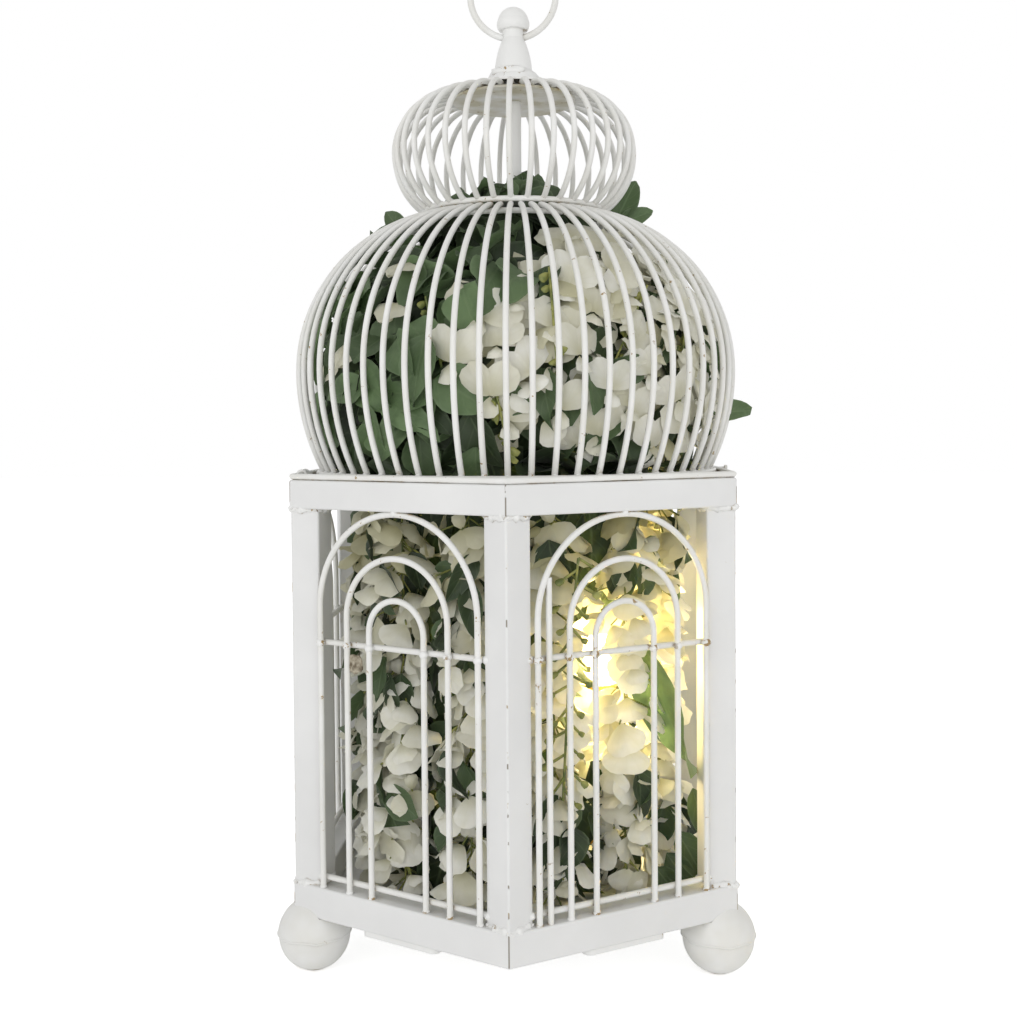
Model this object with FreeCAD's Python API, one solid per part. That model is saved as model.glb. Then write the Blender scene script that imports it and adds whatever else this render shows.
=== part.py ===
import FreeCAD, Part
import math
import os

# Hexagonal wire birdcage lantern, filled with silk wisteria and used as a wedding card box.
# Millimetres, +Z up, origin on the ground at the cage's axis. One corner of the hexagon faces -Y.
# A wire dome lid swings up on the left side, a hook on the right side keeps it shut,
# and a loose carrying ring hangs in the finial.

# Cage: a hexagon of mitred square tube above and below, with a post at each corner
CORNER_RADIUS = 130.0      # axis to the outer corner of the rails
RAIL_DEPTH = 15.0
TOP_RAIL_HEIGHT = 14.5
BOTTOM_RAIL_HEIGHT = 16.2
POST_SIDE = 15.6           # square tube, set with one edge pointing outwards
POST_LENGTH = 191.0
POST_SETBACK = 11.4        # outer corner of the rails to the post's centre
TUBE_WALL = 1.2
TUBE_ROUND = 1.2           # outer edge radius of the square tubes

# Ball feet under every second corner, each of two pressed half shells
FOOT_SETBACK = 10.6        # outer corner of the rails to the ball's centre
BALL_RADIUS = 18.7
BALL_DROP = 11.8           # underside of the rails to the ball's centre
BALL_FLAT = 1.5            # how much of the ball's height is lost at the ground
SEAM_RISE = 1.2            # ball's centre to the seam
SHELL_WALL = 1.0
SHELL_STEP = 0.5           # the lower shell is this much smaller, so the upper one laps it
PAD_RADIUS = 6.5
PAD_HEIGHT = 1.4

# Floor pan: a thin sheet welded under the rails, with a folded tab at each side
PAN_SHEET = 1.2
PAN_INSET = 8.6            # outer face of the rails to the edge of the sheet
PAN_CORNER_CLEAR = 1.8     # corner cut of the sheet to the ball foot
TAB_LENGTH = 45.0
TAB_INSET = 1.5            # outer face of the rails to the end of a tab
TAB_THICKNESS = 3.0

# Panels: three nested wire arches in front of a cross bar and a sill wire
WIRE_RADIUS = 1.5
ARCH_CLEARANCE = 0.25                 # post to the outer arch
ARCH_STEPS = (0.0, 17.0, 31.0)        # leg of the outer arch to the same leg of each arch
ARCH_DROPS = (1.2, 22.6, 42.9)        # underside of the top rail to the arch's centre line
ARCH_INSET = 2.5                      # outer face of the rails to the arch's centre line
CROSS_BAR_RISE = 124.0                # top of the bottom rail to the cross bar
SILL_GAP = 3.0                        # dark gap under the sill wire
WELD_BITE = 0.8                       # how far a bar's end runs into the post
UPRIGHT_STEP = 5.9                    # left leg of the outer arch to the one spare upright

# Lid: hexagon rim, main dome, smaller crown dome and finial
RIM_GAP = 0.2              # dark line between the lid's rim and the rail
HINGE_CLEARANCE = 0.08
WELD_SINK = 0.02           # round wires that are welded side by side sink this far
DOME_WIRES = 60
DOME_SWELL = 10.1          # base ring to the widest part of the dome
DOME_BULGE_RISE = 55.6     # top of the rails to the widest level of the dome
NECK_RADIUS = 53.0
NECK_RISE = 140.1          # top of the rails to the upper ends of the dome wires
CROWN_WIRES = 36
CROWN_RING_INSET = 3.5     # neck ring to the crown's base ring
CROWN_BULGE_RADIUS = 65.5
CROWN_UPPER_CURVE = 32.0   # radius that a crown wire is bent to above its widest level
CROWN_RISE = 34.5          # ends of the dome wires to the widest level of the crown
CROWN_WIRE_TAIL = 6.0      # straight end that lies on the top disc
DISC_SHEET = 1.2
CAP_INSET = 0.5            # start of the wires' bend to the edge of the cap
CAP_CONE = 3.6
CAP_FLAT_RADIUS = 12.0

# Finial, its rod and the carrying ring
FINIAL_HEIGHT = 42.8
FINIAL_FOOT_RADIUS = 10.4
FINIAL_BODY_RADIUS = 10.2
FINIAL_WAIST_RADIUS = 8.4
FINIAL_NECK_RADIUS = 5.8
FINIAL_LIP_RADIUS = 7.8
FINIAL_COLLAR_RADIUS = 9.0
RING_RADIUS = 23.4
RING_WIRE_RADIUS = 1.8
RING_HOLE_RADIUS = 2.5
RING_HOLE_RISE = 26.0      # foot of the finial to the cross hole
ROD_RADIUS = 4.0
ROD_IN_FINIAL = 10.0
BRIDGE_WIDTH = 14.0
BRIDGE_SHEET = 2.0
NUT_FLATS = 13.0
NUT_HEIGHT = 6.5

# Hinge straps, latch hook and stud
STRAP_WIDTH = 10.0
STRAP_SHEET = 1.2
STRAP_TAIL = 11.0
STRAP_FOOT = 4.0
STRAP_SPREAD = 38.0        # each strap's distance from the middle of the left side
HOOK_SHEET = 1.2
HOOK_GAP = 0.4             # air on both sides of the hook's plate
HOOK_WIDTH = 9.0
HOOK_TIP = 6.5             # plate beyond the stud
HOOK_PIVOT_DROP = 8.4      # top of the rail to the rivet
HOOK_SLOT_SPARE = 0.4      # slot wall to the stud
RIVET_RADIUS = 2.0
RIVET_HEAD_RADIUS = 4.0
RIVET_HEAD = 1.4
STUD_RADIUS = 1.5
STUD_HEAD_RADIUS = 2.4

# Battery lamp that stands on the floor pan
LAMP_X = 44.0
LAMP_PUCK_RADIUS = 24.0
LAMP_PUCK_HEIGHT = 15.5
LAMP_TUBE_RADIUS = 5.0
LAMP_TUBE_LENGTH = 72.0
SOCKET_RADIUS = 11.0
SOCKET_HEIGHT = 18.0
GLOBE_RADIUS = 20.0
GLOBE_WALL = 0.9
GLOBE_NECK_RADIUS = 9.0
GLOBE_RISE = 17.0          # top of the socket to the globe's centre
FILAMENT_RADIUS = 0.9
FILAMENT_LENGTH = 22.0
FILAMENT_SPREAD = 5.0
FILAMENT_STEM_RADIUS = 1.6

# Silk flowers, as plain bodies: hanging wisteria in the cage, sprays in the dome
RACEME_INSET = 32.6        # outer face of the rails to the middle of a hanging raceme
RACEME_GAP = 0.6           # between neighbouring racemes
SLIM_RACEME_SHARE = 0.61   # width of the two beside the lamp, compared with the others
RACEME_TIP_SHARE = 0.7     # a raceme's tip compared with its widest part
RACEME_HEADROOM = 4.0      # underside of the top rails to the top of a raceme
SPRAY_INNER_RADIUS = 18.0
SPRAY_FLOOR = 11.0         # top of the rails to the underside of the sprays
SPRAY_HEADROOM = 15.0      # top of the sprays to the neck ring
SPRAY_ANGLE = 172.0        # turn that each half spray fills
SPRIG_RADIUS = 24.0
SPRIG_HEIGHT = 20.0
SPRIG_CLEARANCE = 0.6

SIDES = ("front_right", "right", "back_right", "back_left", "left", "front_left")
CORNERS = ("front", "right_front", "right_back", "back", "left_back", "left_front")
FOOT_CORNERS = ("right_front", "back", "left_front")
HINGE_SIDE = "left"
LATCH_SIDE = "right"
UPRIGHT_SIDE = "front_right"
SLIM_SIDE = "right"
SIDE_TURN = 60.0

# Levels and radii that follow from the sizes above
APOTHEM = CORNER_RADIUS * math.cos(math.radians(SIDE_TURN / 2))
RIDE_HEIGHT = BALL_DROP + BALL_RADIUS - BALL_FLAT
BOTTOM_RAIL_TOP = RIDE_HEIGHT + BOTTOM_RAIL_HEIGHT
TOP_RAIL_UNDERSIDE = BOTTOM_RAIL_TOP + POST_LENGTH
TOP_RAIL_TOP = TOP_RAIL_UNDERSIDE + TOP_RAIL_HEIGHT
POST_RADIUS = CORNER_RADIUS - POST_SETBACK
FOOT_RADIUS = CORNER_RADIUS - FOOT_SETBACK
BALL_Z = RIDE_HEIGHT - BALL_DROP
RIM_APOTHEM = APOTHEM - WIRE_RADIUS - HINGE_CLEARANCE
RIM_Z = TOP_RAIL_TOP + RIM_GAP + WIRE_RADIUS
BASE_RING_RADIUS = RIM_APOTHEM - 2 * WIRE_RADIUS + WELD_SINK
DOME_BULGE_RADIUS = BASE_RING_RADIUS + DOME_SWELL
BULGE_Z = TOP_RAIL_TOP + DOME_BULGE_RISE
NECK_Z = TOP_RAIL_TOP + NECK_RISE
CROWN_RING_RADIUS = NECK_RADIUS - CROWN_RING_INSET
WELD_SPAN = 2 * WIRE_RADIUS - WELD_BITE / 4
CROWN_RING_Z = NECK_Z + WELD_SPAN
CROWN_Z = NECK_Z + CROWN_RISE
CROWN_CENTRE = CROWN_BULGE_RADIUS - CROWN_UPPER_CURVE
DISC_TOP = CROWN_Z + CROWN_UPPER_CURVE - WIRE_RADIUS
CAP_EDGE_Z = CROWN_Z + CROWN_UPPER_CURVE + WIRE_RADIUS
FINIAL_Z = CAP_EDGE_Z + CAP_CONE + DISC_SHEET
RING_HOLE_Z = FINIAL_Z + RING_HOLE_RISE
HOOK_PIVOT_Z = TOP_RAIL_TOP - HOOK_PIVOT_DROP
STUD_REACH = RIM_Z - HOOK_PIVOT_Z
PAN_TOP = RIDE_HEIGHT
RACEME_RING = APOTHEM - RACEME_INSET
RACEME_RADIUS = RACEME_RING * math.sin(math.radians(SIDE_TURN / 4)) - RACEME_GAP / 2
UP = FreeCAD.Vector(0, 0, 1)
AXIS_POINT = FreeCAD.Vector(0, 0, 0)
CARD_GAP_ANGLE = (180.0 - SPRAY_ANGLE) / 2


def at(x, y, z):
    return FreeCAD.Vector(x, y, z)


def turned(shape, degrees):
    copy = shape.copy()
    copy.rotate(AXIS_POINT, UP, degrees)
    return copy


def moved(shape, x, y, z):
    copy = shape.copy()
    copy.translate(at(x, y, z))
    return copy


def side_angle(name):
    return SIDE_TURN * (SIDES.index(name) + 0.5)


def corner_angle(name):
    return SIDE_TURN * CORNERS.index(name)


def ring_of(shape, count):
    """Copies of one solid, evenly spaced round the cage's axis."""
    return Part.makeCompound([turned(shape, 360.0 * i / count) for i in range(count)])


def revolved(outline, degrees=360.0):
    """Turns a closed outline of (radius, height) points round the Z axis."""
    points = [at(r, 0, z) for r, z in outline]
    face = Part.Face(Part.makePolygon(points + points[:1]))
    return face.revolve(AXIS_POINT, UP, degrees)


def prism(points, bottom, height):
    """Extrudes a closed plan outline of (x, y) points upwards."""
    corners = [at(x, y, bottom) for x, y in points]
    face = Part.Face(Part.makePolygon(corners + corners[:1]))
    return face.extrude(at(0, 0, height))


def hexagon(apothem):
    radius = apothem / math.cos(math.radians(SIDE_TURN / 2))
    return [(radius * math.sin(math.radians(SIDE_TURN * i)),
             -radius * math.cos(math.radians(SIDE_TURN * i))) for i in range(6)]


def rod_along_x(length, radius, y, z):
    return Part.makeCylinder(radius, length, at(-length / 2, y, z), at(1, 0, 0))


def mitre(shape):
    """Cuts a bar that runs along the front side at the two mitre planes of its corners."""
    reach = 2 * CORNER_RADIUS
    half = math.radians(SIDE_TURN / 2)
    sector = [(0, 0), (-reach * math.sin(half), -reach * math.cos(half)),
              (reach * math.sin(half), -reach * math.cos(half))]
    return shape.common(prism(sector, 0, 10 * CORNER_RADIUS))


def rail(bottom, height):
    """Square tube along the front side, with rounded edges and mitred ends."""
    length = 2 * CORNER_RADIUS
    outer = Part.makeBox(length, RAIL_DEPTH, height, at(-length / 2, -APOTHEM, bottom))
    long_edges = [e for e in outer.Edges if abs(e.tangentAt(e.FirstParameter).x) > 0.5]
    outer = outer.makeFillet(TUBE_ROUND, long_edges)
    bore = Part.makeBox(length, RAIL_DEPTH - 2 * TUBE_WALL, height - 2 * TUBE_WALL,
                        at(-length / 2, -APOTHEM + TUBE_WALL, bottom + TUBE_WALL))
    return mitre(outer.cut(bore))


def post():
    """Square tube at the front corner, turned so that one edge points outwards."""
    half = POST_SIDE / 2
    outer = Part.makeBox(POST_SIDE, POST_SIDE, POST_LENGTH, at(-half, -half, 0))
    upright = [e for e in outer.Edges if abs(e.tangentAt(e.FirstParameter).z) > 0.5]
    outer = outer.makeFillet(TUBE_ROUND, upright)
    bore_side = POST_SIDE - 2 * TUBE_WALL
    bore = Part.makeBox(bore_side, bore_side, POST_LENGTH, at(-bore_side / 2, -bore_side / 2, 0))
    return moved(turned(outer.cut(bore), 45), 0, -POST_RADIUS, BOTTOM_RAIL_TOP)


def ball_profile(radius, low, high):
    """Face between two spheres one wall apart, from one level to another, above the XY plane."""
    inner = radius - SHELL_WALL
    ring = Part.makeSphere(radius).cut(Part.makeSphere(inner))
    slab = Part.makeBox(4 * radius, 4 * radius, high - low, at(-2 * radius, -2 * radius, low))
    return ring.common(slab)


def foot_upper():
    """Upper pressed half shell, notched to fit round the corner of the rails."""
    shell = moved(ball_profile(BALL_RADIUS, SEAM_RISE, BALL_RADIUS), 0, -FOOT_RADIUS, BALL_Z)
    return shell.cut(prism(hexagon(APOTHEM), RIDE_HEIGHT, BALL_RADIUS))


def foot_lower():
    """Lower pressed half shell with the small flat pad that it stands on."""
    radius = BALL_RADIUS - SHELL_STEP
    shell = ball_profile(radius, -radius, SEAM_RISE)
    pad = Part.makeCylinder(PAD_RADIUS, PAD_HEIGHT + SHELL_WALL, at(0, 0, -BALL_Z))
    shell = shell.fuse(pad).common(Part.makeCylinder(2 * radius, BALL_Z + SEAM_RISE, at(0, 0, -BALL_Z)))
    return moved(shell, 0, -FOOT_RADIUS, BALL_Z)


def floor_pan():
    """Thin floor under the rails, clear of the feet, with a round-ended tab at each side."""
    foot_edge = FOOT_RADIUS - math.sqrt(BALL_RADIUS ** 2 - BALL_DROP ** 2) - PAN_CORNER_CLEAR
    sheet = prism(hexagon(APOTHEM - PAN_INSET), PAN_TOP - PAN_SHEET, PAN_SHEET)
    corner_cut = turned(prism(hexagon(foot_edge), PAN_TOP - PAN_SHEET, PAN_SHEET), SIDE_TURN / 2)
    pan = sheet.common(corner_cut)
    reach = PAN_INSET + TAB_LENGTH / 4
    tab = Part.makeBox(TAB_LENGTH, reach, TAB_THICKNESS,
                       at(-TAB_LENGTH / 2, -APOTHEM + TAB_INSET, PAN_TOP - TAB_THICKNESS))
    ends = [e for e in tab.Edges if abs(e.tangentAt(e.FirstParameter).z) > 0.5
            and e.CenterOfMass.y < -APOTHEM + TAB_INSET + 0.1]
    tab = tab.makeFillet((PAN_INSET - TAB_INSET) / 2, ends)
    tabs = [turned(tab, side_angle(name)) for name in SIDES]
    return pan.multiFuse(tabs).removeSplitter()


def arch(width, drop):
    """One bent wire: two legs on the bottom rail and a half circle over them."""
    radius = width / 2
    top = TOP_RAIL_UNDERSIDE - drop
    spring = top - radius
    plane = -APOTHEM + ARCH_INSET
    leg = Part.makeCylinder(WIRE_RADIUS, spring - BOTTOM_RAIL_TOP, at(-radius, plane, BOTTOM_RAIL_TOP))
    section = Part.Face(Part.Wire(Part.makeCircle(WIRE_RADIUS, at(-radius, plane, spring))))
    bend = section.revolve(at(0, plane, spring), at(0, 1, 0), 180)
    return leg.fuse([bend, moved(leg, width, 0, 0)]).removeSplitter()


def bar_half_length(plane):
    """From the middle of a side to the post's flank, along a wire that lies in this plane."""
    half = math.radians(SIDE_TURN / 2)
    flank = math.radians(45) - half
    post_x = POST_RADIUS * math.sin(half)
    post_y = POST_RADIUS * math.cos(half)
    ahead = plane - post_y
    return post_x - (POST_SIDE / 2 + ahead * math.sin(flank)) / math.cos(flank)


def outer_leg():
    """From the middle of a side to the leg of its outer arch, close to the post."""
    return bar_half_length(APOTHEM - ARCH_INSET) - WIRE_RADIUS - ARCH_CLEARANCE


def panel(name):
    """Grille of one side: arches in front, cross bar and sill wire welded behind them."""
    arches = [arch(2 * (outer_leg() - step), drop) for step, drop in zip(ARCH_STEPS, ARCH_DROPS)]
    behind = APOTHEM - ARCH_INSET - 2 * WIRE_RADIUS + WELD_SINK
    length = 2 * (bar_half_length(behind) + WELD_BITE)
    levels = (BOTTOM_RAIL_TOP + CROSS_BAR_RISE, BOTTOM_RAIL_TOP + SILL_GAP + WIRE_RADIUS)
    bars = [rod_along_x(length, WIRE_RADIUS, -behind, z) for z in levels]
    spare = []
    if name == UPRIGHT_SIDE:
        offset = UPRIGHT_STEP - outer_leg()
        shoulder = TOP_RAIL_UNDERSIDE - ARCH_DROPS[0] - outer_leg()
        inner = outer_leg() - WIRE_RADIUS + WELD_SINK
        height = shoulder + math.sqrt(inner ** 2 - offset ** 2) - BOTTOM_RAIL_TOP
        spare = [Part.makeCylinder(WIRE_RADIUS, height, at(offset, -APOTHEM + ARCH_INSET, BOTTOM_RAIL_TOP))]
    return turned(Part.makeCompound(arches + bars + spare), side_angle(name))


def lid_rim():
    """Hexagon of straight wire with mitred corners. Its left side is the hinge's pin."""
    length = 2 * CORNER_RADIUS
    wire = mitre(rod_along_x(length, WIRE_RADIUS, -RIM_APOTHEM, RIM_Z))
    wires = [turned(wire, side_angle(name)) for name in SIDES]
    return wires[0].multiFuse(wires[1:]).removeSplitter()


def wire_ring(radius, z):
    return Part.makeTorus(radius, WIRE_RADIUS, at(0, 0, z))


def arc_centre(bulge_radius, end_radius, climb):
    """Centre radius of the arc that is upright at the bulge and passes through the end point."""
    return (bulge_radius ** 2 - end_radius ** 2 - climb ** 2) / (2 * (bulge_radius - end_radius))


def dome_ends():
    """Lower and upper end of a dome wire: against the base ring, and under the crown's ring."""
    low = (BASE_RING_RADIUS - WELD_SPAN * math.cos(math.radians(SIDE_TURN / 2)),
           RIM_Z + WELD_SPAN / 2)
    high = (CROWN_RING_RADIUS, NECK_Z)
    return low, high


def dome_centres():
    """Centre radii of the lower and the upper arc of a dome wire."""
    (low_radius, low_z), (high_radius, high_z) = dome_ends()
    return (arc_centre(DOME_BULGE_RADIUS, low_radius, low_z - BULGE_Z),
            arc_centre(DOME_BULGE_RADIUS, high_radius, high_z - BULGE_Z))


def neck_ring():
    """Ring welded to the inside of the dome wires, near their upper ends."""
    low_centre, high_centre = dome_centres()
    reach = DOME_BULGE_RADIUS - high_centre - 2 * WIRE_RADIUS + WELD_SINK
    climb = math.sqrt(reach ** 2 - (NECK_RADIUS - high_centre) ** 2)
    return wire_ring(NECK_RADIUS, BULGE_Z + climb)


def dome_wire():
    """One wire of the main dome, bent to two arcs that meet at the widest level."""
    (low_radius, low_z), (high_radius, high_z) = dome_ends()
    low_centre, high_centre = dome_centres()
    section = Part.Face(Part.Wire(Part.makeCircle(WIRE_RADIUS, at(DOME_BULGE_RADIUS, 0, BULGE_Z))))
    low_turn = math.degrees(math.atan2(BULGE_Z - low_z, low_radius - low_centre))
    high_turn = math.degrees(math.atan2(high_z - BULGE_Z, high_radius - high_centre))
    low = section.revolve(at(low_centre, 0, BULGE_Z), at(0, 1, 0), low_turn)
    high = section.revolve(at(high_centre, 0, BULGE_Z), at(0, -1, 0), high_turn)
    return low.fuse(high)


def crown_wire():
    """One wire of the crown: a straight tail on the disc, then two bends down to the base ring."""
    fall = CROWN_Z - CROWN_RING_Z - WIRE_RADIUS + WELD_BITE
    low_centre = arc_centre(CROWN_BULGE_RADIUS, CROWN_RING_RADIUS, fall)
    drop = math.atan2(fall, CROWN_RING_RADIUS - low_centre)
    section = Part.Face(Part.Wire(Part.makeCircle(WIRE_RADIUS, at(CROWN_BULGE_RADIUS, 0, CROWN_Z))))
    bend = section.revolve(at(low_centre, 0, CROWN_Z), at(0, 1, 0), math.degrees(drop))
    rise = section.revolve(at(CROWN_CENTRE, 0, CROWN_Z), at(0, -1, 0), 90)
    tail = Part.makeCylinder(WIRE_RADIUS, CROWN_WIRE_TAIL,
                             at(CROWN_CENTRE - CROWN_WIRE_TAIL, 0, CROWN_Z + CROWN_UPPER_CURVE), at(1, 0, 0))
    return tail.fuse([rise, bend])


def crown_disc():
    """Flat disc that the crown wires lie on, with the rod's hole."""
    disc = Part.makeCylinder(CROWN_CENTRE, DISC_SHEET, at(0, 0, DISC_TOP - DISC_SHEET))
    return disc.cut(Part.makeCylinder(ROD_RADIUS, DISC_SHEET, at(0, 0, DISC_TOP - DISC_SHEET)))


def crown_cap():
    """Shallow cone that covers the ends of the crown wires, under the finial."""
    edge = CROWN_CENTRE - CAP_INSET
    low = CAP_EDGE_Z
    high = CAP_EDGE_Z + CAP_CONE
    return revolved([(ROD_RADIUS, high), (CAP_FLAT_RADIUS, high), (edge, low),
                     (edge, low + DISC_SHEET), (CAP_FLAT_RADIUS, high + DISC_SHEET),
                     (ROD_RADIUS, high + DISC_SHEET)])


def finial():
    """Turned pear with a collar and a domed top, bored for the rod and across for the ring."""
    def point(radius, share):
        return at(radius, 0, FINIAL_Z + share * FINIAL_HEIGHT)
    axis_low = point(0, 0)
    body = Part.BSplineCurve()
    body.interpolate([point(FINIAL_FOOT_RADIUS, 0), point(FINIAL_BODY_RADIUS, 0.22),
                      point(FINIAL_WAIST_RADIUS, 0.44), point(FINIAL_NECK_RADIUS, 0.6)])
    neck = Part.makeLine(point(FINIAL_NECK_RADIUS, 0.6), point(FINIAL_NECK_RADIUS, 0.705))
    ledge = Part.makeLine(point(FINIAL_NECK_RADIUS, 0.705), point(FINIAL_LIP_RADIUS, 0.705))
    shoulder = 0.84
    shoulder_radius = (FINIAL_LIP_RADIUS + FINIAL_COLLAR_RADIUS) / 2
    collar = Part.Arc(point(FINIAL_LIP_RADIUS, 0.705), point(FINIAL_COLLAR_RADIUS, 0.78),
                      point(shoulder_radius, shoulder)).toShape()
    cap_height = (1 - shoulder) * FINIAL_HEIGHT
    cap_radius = (shoulder_radius ** 2 + cap_height ** 2) / (2 * cap_height)
    half_turn = math.asin(shoulder_radius / cap_radius) / 2
    on_cap = at(cap_radius * math.sin(half_turn), 0,
                FINIAL_Z + FINIAL_HEIGHT - cap_radius * (1 - math.cos(half_turn)))
    dome = Part.Arc(point(shoulder_radius, shoulder), on_cap, point(0, 1)).toShape()
    spine = Part.makeLine(point(0, 1), axis_low)
    foot = Part.makeLine(axis_low, point(FINIAL_FOOT_RADIUS, 0))
    outline = Part.Wire([foot, body.toShape(), neck, ledge, collar, dome, spine])
    solid = Part.Face(outline).revolve(AXIS_POINT, UP, 360)
    rod_bore = Part.makeCylinder(ROD_RADIUS, ROD_IN_FINIAL, at(0, 0, FINIAL_Z))
    cross = rod_along_x(4 * FINIAL_COLLAR_RADIUS, RING_HOLE_RADIUS, 0, RING_HOLE_Z)
    return solid.cut([rod_bore, cross])


def carry_ring():
    """Loose ring, standing upright. Its lowest stretch runs through the finial's cross hole."""
    sag = FINIAL_NECK_RADIUS ** 2 / (2 * RING_RADIUS)
    centre = at(0, 0, RING_HOLE_Z - sag / 2 + RING_RADIUS)
    return Part.makeTorus(RING_RADIUS, RING_WIRE_RADIUS, centre, at(0, 1, 0))


def bridge_top():
    return CROWN_RING_Z + BRIDGE_SHEET / 2


def neck_bridge():
    """Flat strip across the neck, inside the crown's base ring, that the rod pulls down on."""
    reach = CROWN_RING_RADIUS - WIRE_RADIUS + WELD_BITE / 2
    low = bridge_top() - BRIDGE_SHEET
    strip = Part.makeBox(BRIDGE_WIDTH, 2 * reach, BRIDGE_SHEET, at(-BRIDGE_WIDTH / 2, -reach, low))
    edge = Part.makeCylinder(reach, BRIDGE_SHEET, at(0, 0, low))
    return strip.common(edge).cut(Part.makeCylinder(ROD_RADIUS, BRIDGE_SHEET, at(0, 0, low)))


def finial_rod():
    """Rod from the finial down through cap, disc and bridge, with its hexagon nut below."""
    low = bridge_top() - BRIDGE_SHEET - NUT_HEIGHT
    rod = Part.makeCylinder(ROD_RADIUS, FINIAL_Z + ROD_IN_FINIAL - low, at(0, 0, low))
    return rod.fuse(prism(hexagon(NUT_FLATS / 2), low, NUT_HEIGHT)).removeSplitter()


def hinge_strap(offset):
    """Sheet saddle over the rim wire: a tail down the rail's face, a loop and a foot on its top."""
    inner = WIRE_RADIUS + HINGE_CLEARANCE
    outer = inner + STRAP_SHEET
    start = offset - STRAP_WIDTH / 2
    along = at(1, 0, 0)
    y = -RIM_APOTHEM
    loop = Part.makeCylinder(outer, STRAP_WIDTH, at(start, y, RIM_Z), along)
    loop = loop.common(Part.makeBox(STRAP_WIDTH, 2 * outer, outer, at(start, y - outer, RIM_Z)))
    tail = Part.makeBox(STRAP_WIDTH, STRAP_SHEET, STRAP_TAIL + RIM_Z - TOP_RAIL_TOP,
                        at(start, y - outer, TOP_RAIL_TOP - STRAP_TAIL))
    heel = Part.makeBox(STRAP_WIDTH, STRAP_SHEET, RIM_Z - TOP_RAIL_TOP, at(start, y + inner, TOP_RAIL_TOP))
    foot = Part.makeBox(STRAP_WIDTH, STRAP_FOOT, STRAP_SHEET, at(start, y + inner, TOP_RAIL_TOP))
    strap = loop.fuse([tail, heel, foot])
    bore = Part.makeCylinder(inner, STRAP_WIDTH, at(start, y, RIM_Z), along)
    return turned(strap.cut(bore).removeSplitter(), side_angle(HINGE_SIDE))


def hook_plane():
    """Back face of the hook's plate, in front of the rail's face."""
    return -APOTHEM - HOOK_GAP - HOOK_SHEET


def latch_rivet():
    """Pivot of the hook: a short shank on the rail's face under a wide head."""
    length = HOOK_SHEET + 2 * HOOK_GAP
    outward = at(0, -1, 0)
    shank = Part.makeCylinder(RIVET_RADIUS, length, at(0, -APOTHEM, HOOK_PIVOT_Z), outward)
    head = Part.makeCylinder(RIVET_HEAD_RADIUS, RIVET_HEAD, at(0, -APOTHEM - length, HOOK_PIVOT_Z), outward)
    return turned(shank.fuse(head).removeSplitter(), side_angle(LATCH_SIDE))


def latch_hook():
    """Sheet hook, hanging open. Half a turn brings its curved slot round the lid's stud."""
    y = hook_plane()
    along = at(0, 1, 0)
    half = HOOK_WIDTH / 2
    reach = STUD_REACH + HOOK_TIP
    arm = Part.makeBox(HOOK_WIDTH, HOOK_SHEET, reach - half, at(-half, y, HOOK_PIVOT_Z))
    eye = Part.makeCylinder(half, HOOK_SHEET, at(0, y, HOOK_PIVOT_Z), along)
    tip = Part.makeCylinder(half, HOOK_SHEET, at(0, y, HOOK_PIVOT_Z + reach - half), along)
    slot_half = STUD_RADIUS + HOOK_SLOT_SPARE
    pivot = at(0, y, HOOK_PIVOT_Z)
    outer = Part.makeCylinder(STUD_REACH + slot_half, HOOK_SHEET, pivot, along)
    slot = outer.cut(Part.makeCylinder(STUD_REACH - slot_half, HOOK_SHEET, pivot, along))
    slot = slot.common(Part.makeBox(2 * reach, HOOK_SHEET, 2 * reach, at(-2 * reach, y, HOOK_PIVOT_Z)))
    seat = Part.makeCylinder(slot_half, HOOK_SHEET, at(0, y, HOOK_PIVOT_Z + STUD_REACH), along)
    hole = Part.makeCylinder(RIVET_RADIUS + HINGE_CLEARANCE, HOOK_SHEET, pivot, along)
    hook = arm.fuse([eye, tip]).cut([slot, seat, hole]).removeSplitter()
    hook.rotate(pivot, along, 180)
    return turned(hook, side_angle(LATCH_SIDE))


def latch_stud():
    """Headed stud on the lid's rim that the hook catches."""
    outward = at(0, -1, 0)
    face = APOTHEM + 2 * HOOK_GAP + HOOK_SHEET
    shank = Part.makeCylinder(STUD_RADIUS, face - RIM_APOTHEM, at(0, -RIM_APOTHEM, RIM_Z), outward)
    head = Part.makeCylinder(STUD_HEAD_RADIUS, RIVET_HEAD, at(0, -face, RIM_Z), outward)
    wire = rod_along_x(4 * STUD_RADIUS, WIRE_RADIUS, -RIM_APOTHEM, RIM_Z)
    return turned(shank.fuse(head).cut(wire).removeSplitter(), side_angle(LATCH_SIDE))


def lamp_base():
    """Battery puck of the lamp, with a rounded upper edge."""
    puck = Part.makeCylinder(LAMP_PUCK_RADIUS, LAMP_PUCK_HEIGHT, at(LAMP_X, 0, PAN_TOP))
    rim = [e for e in puck.Edges if e.CenterOfMass.z > PAN_TOP + LAMP_PUCK_HEIGHT / 2 and e.Closed]
    return puck.makeFillet(LAMP_PUCK_HEIGHT / 4, rim)


def lamp_levels():
    tube = PAN_TOP + LAMP_PUCK_HEIGHT
    socket = tube + LAMP_TUBE_LENGTH
    top = socket + SOCKET_HEIGHT
    return tube, socket, top


def lamp_holder():
    """Turned stand of the lamp: a slim tube that widens to a cup for the globe's neck."""
    tube, socket, top = lamp_levels()
    flare = SOCKET_RADIUS - LAMP_TUBE_RADIUS
    cup = top - SOCKET_HEIGHT / 2
    outline = [(0, tube), (LAMP_TUBE_RADIUS, tube), (LAMP_TUBE_RADIUS, socket),
               (SOCKET_RADIUS, socket + flare), (SOCKET_RADIUS, top), (GLOBE_NECK_RADIUS, top),
               (GLOBE_NECK_RADIUS, cup), (0, cup)]
    return moved(revolved(outline), LAMP_X, 0, 0)


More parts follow.
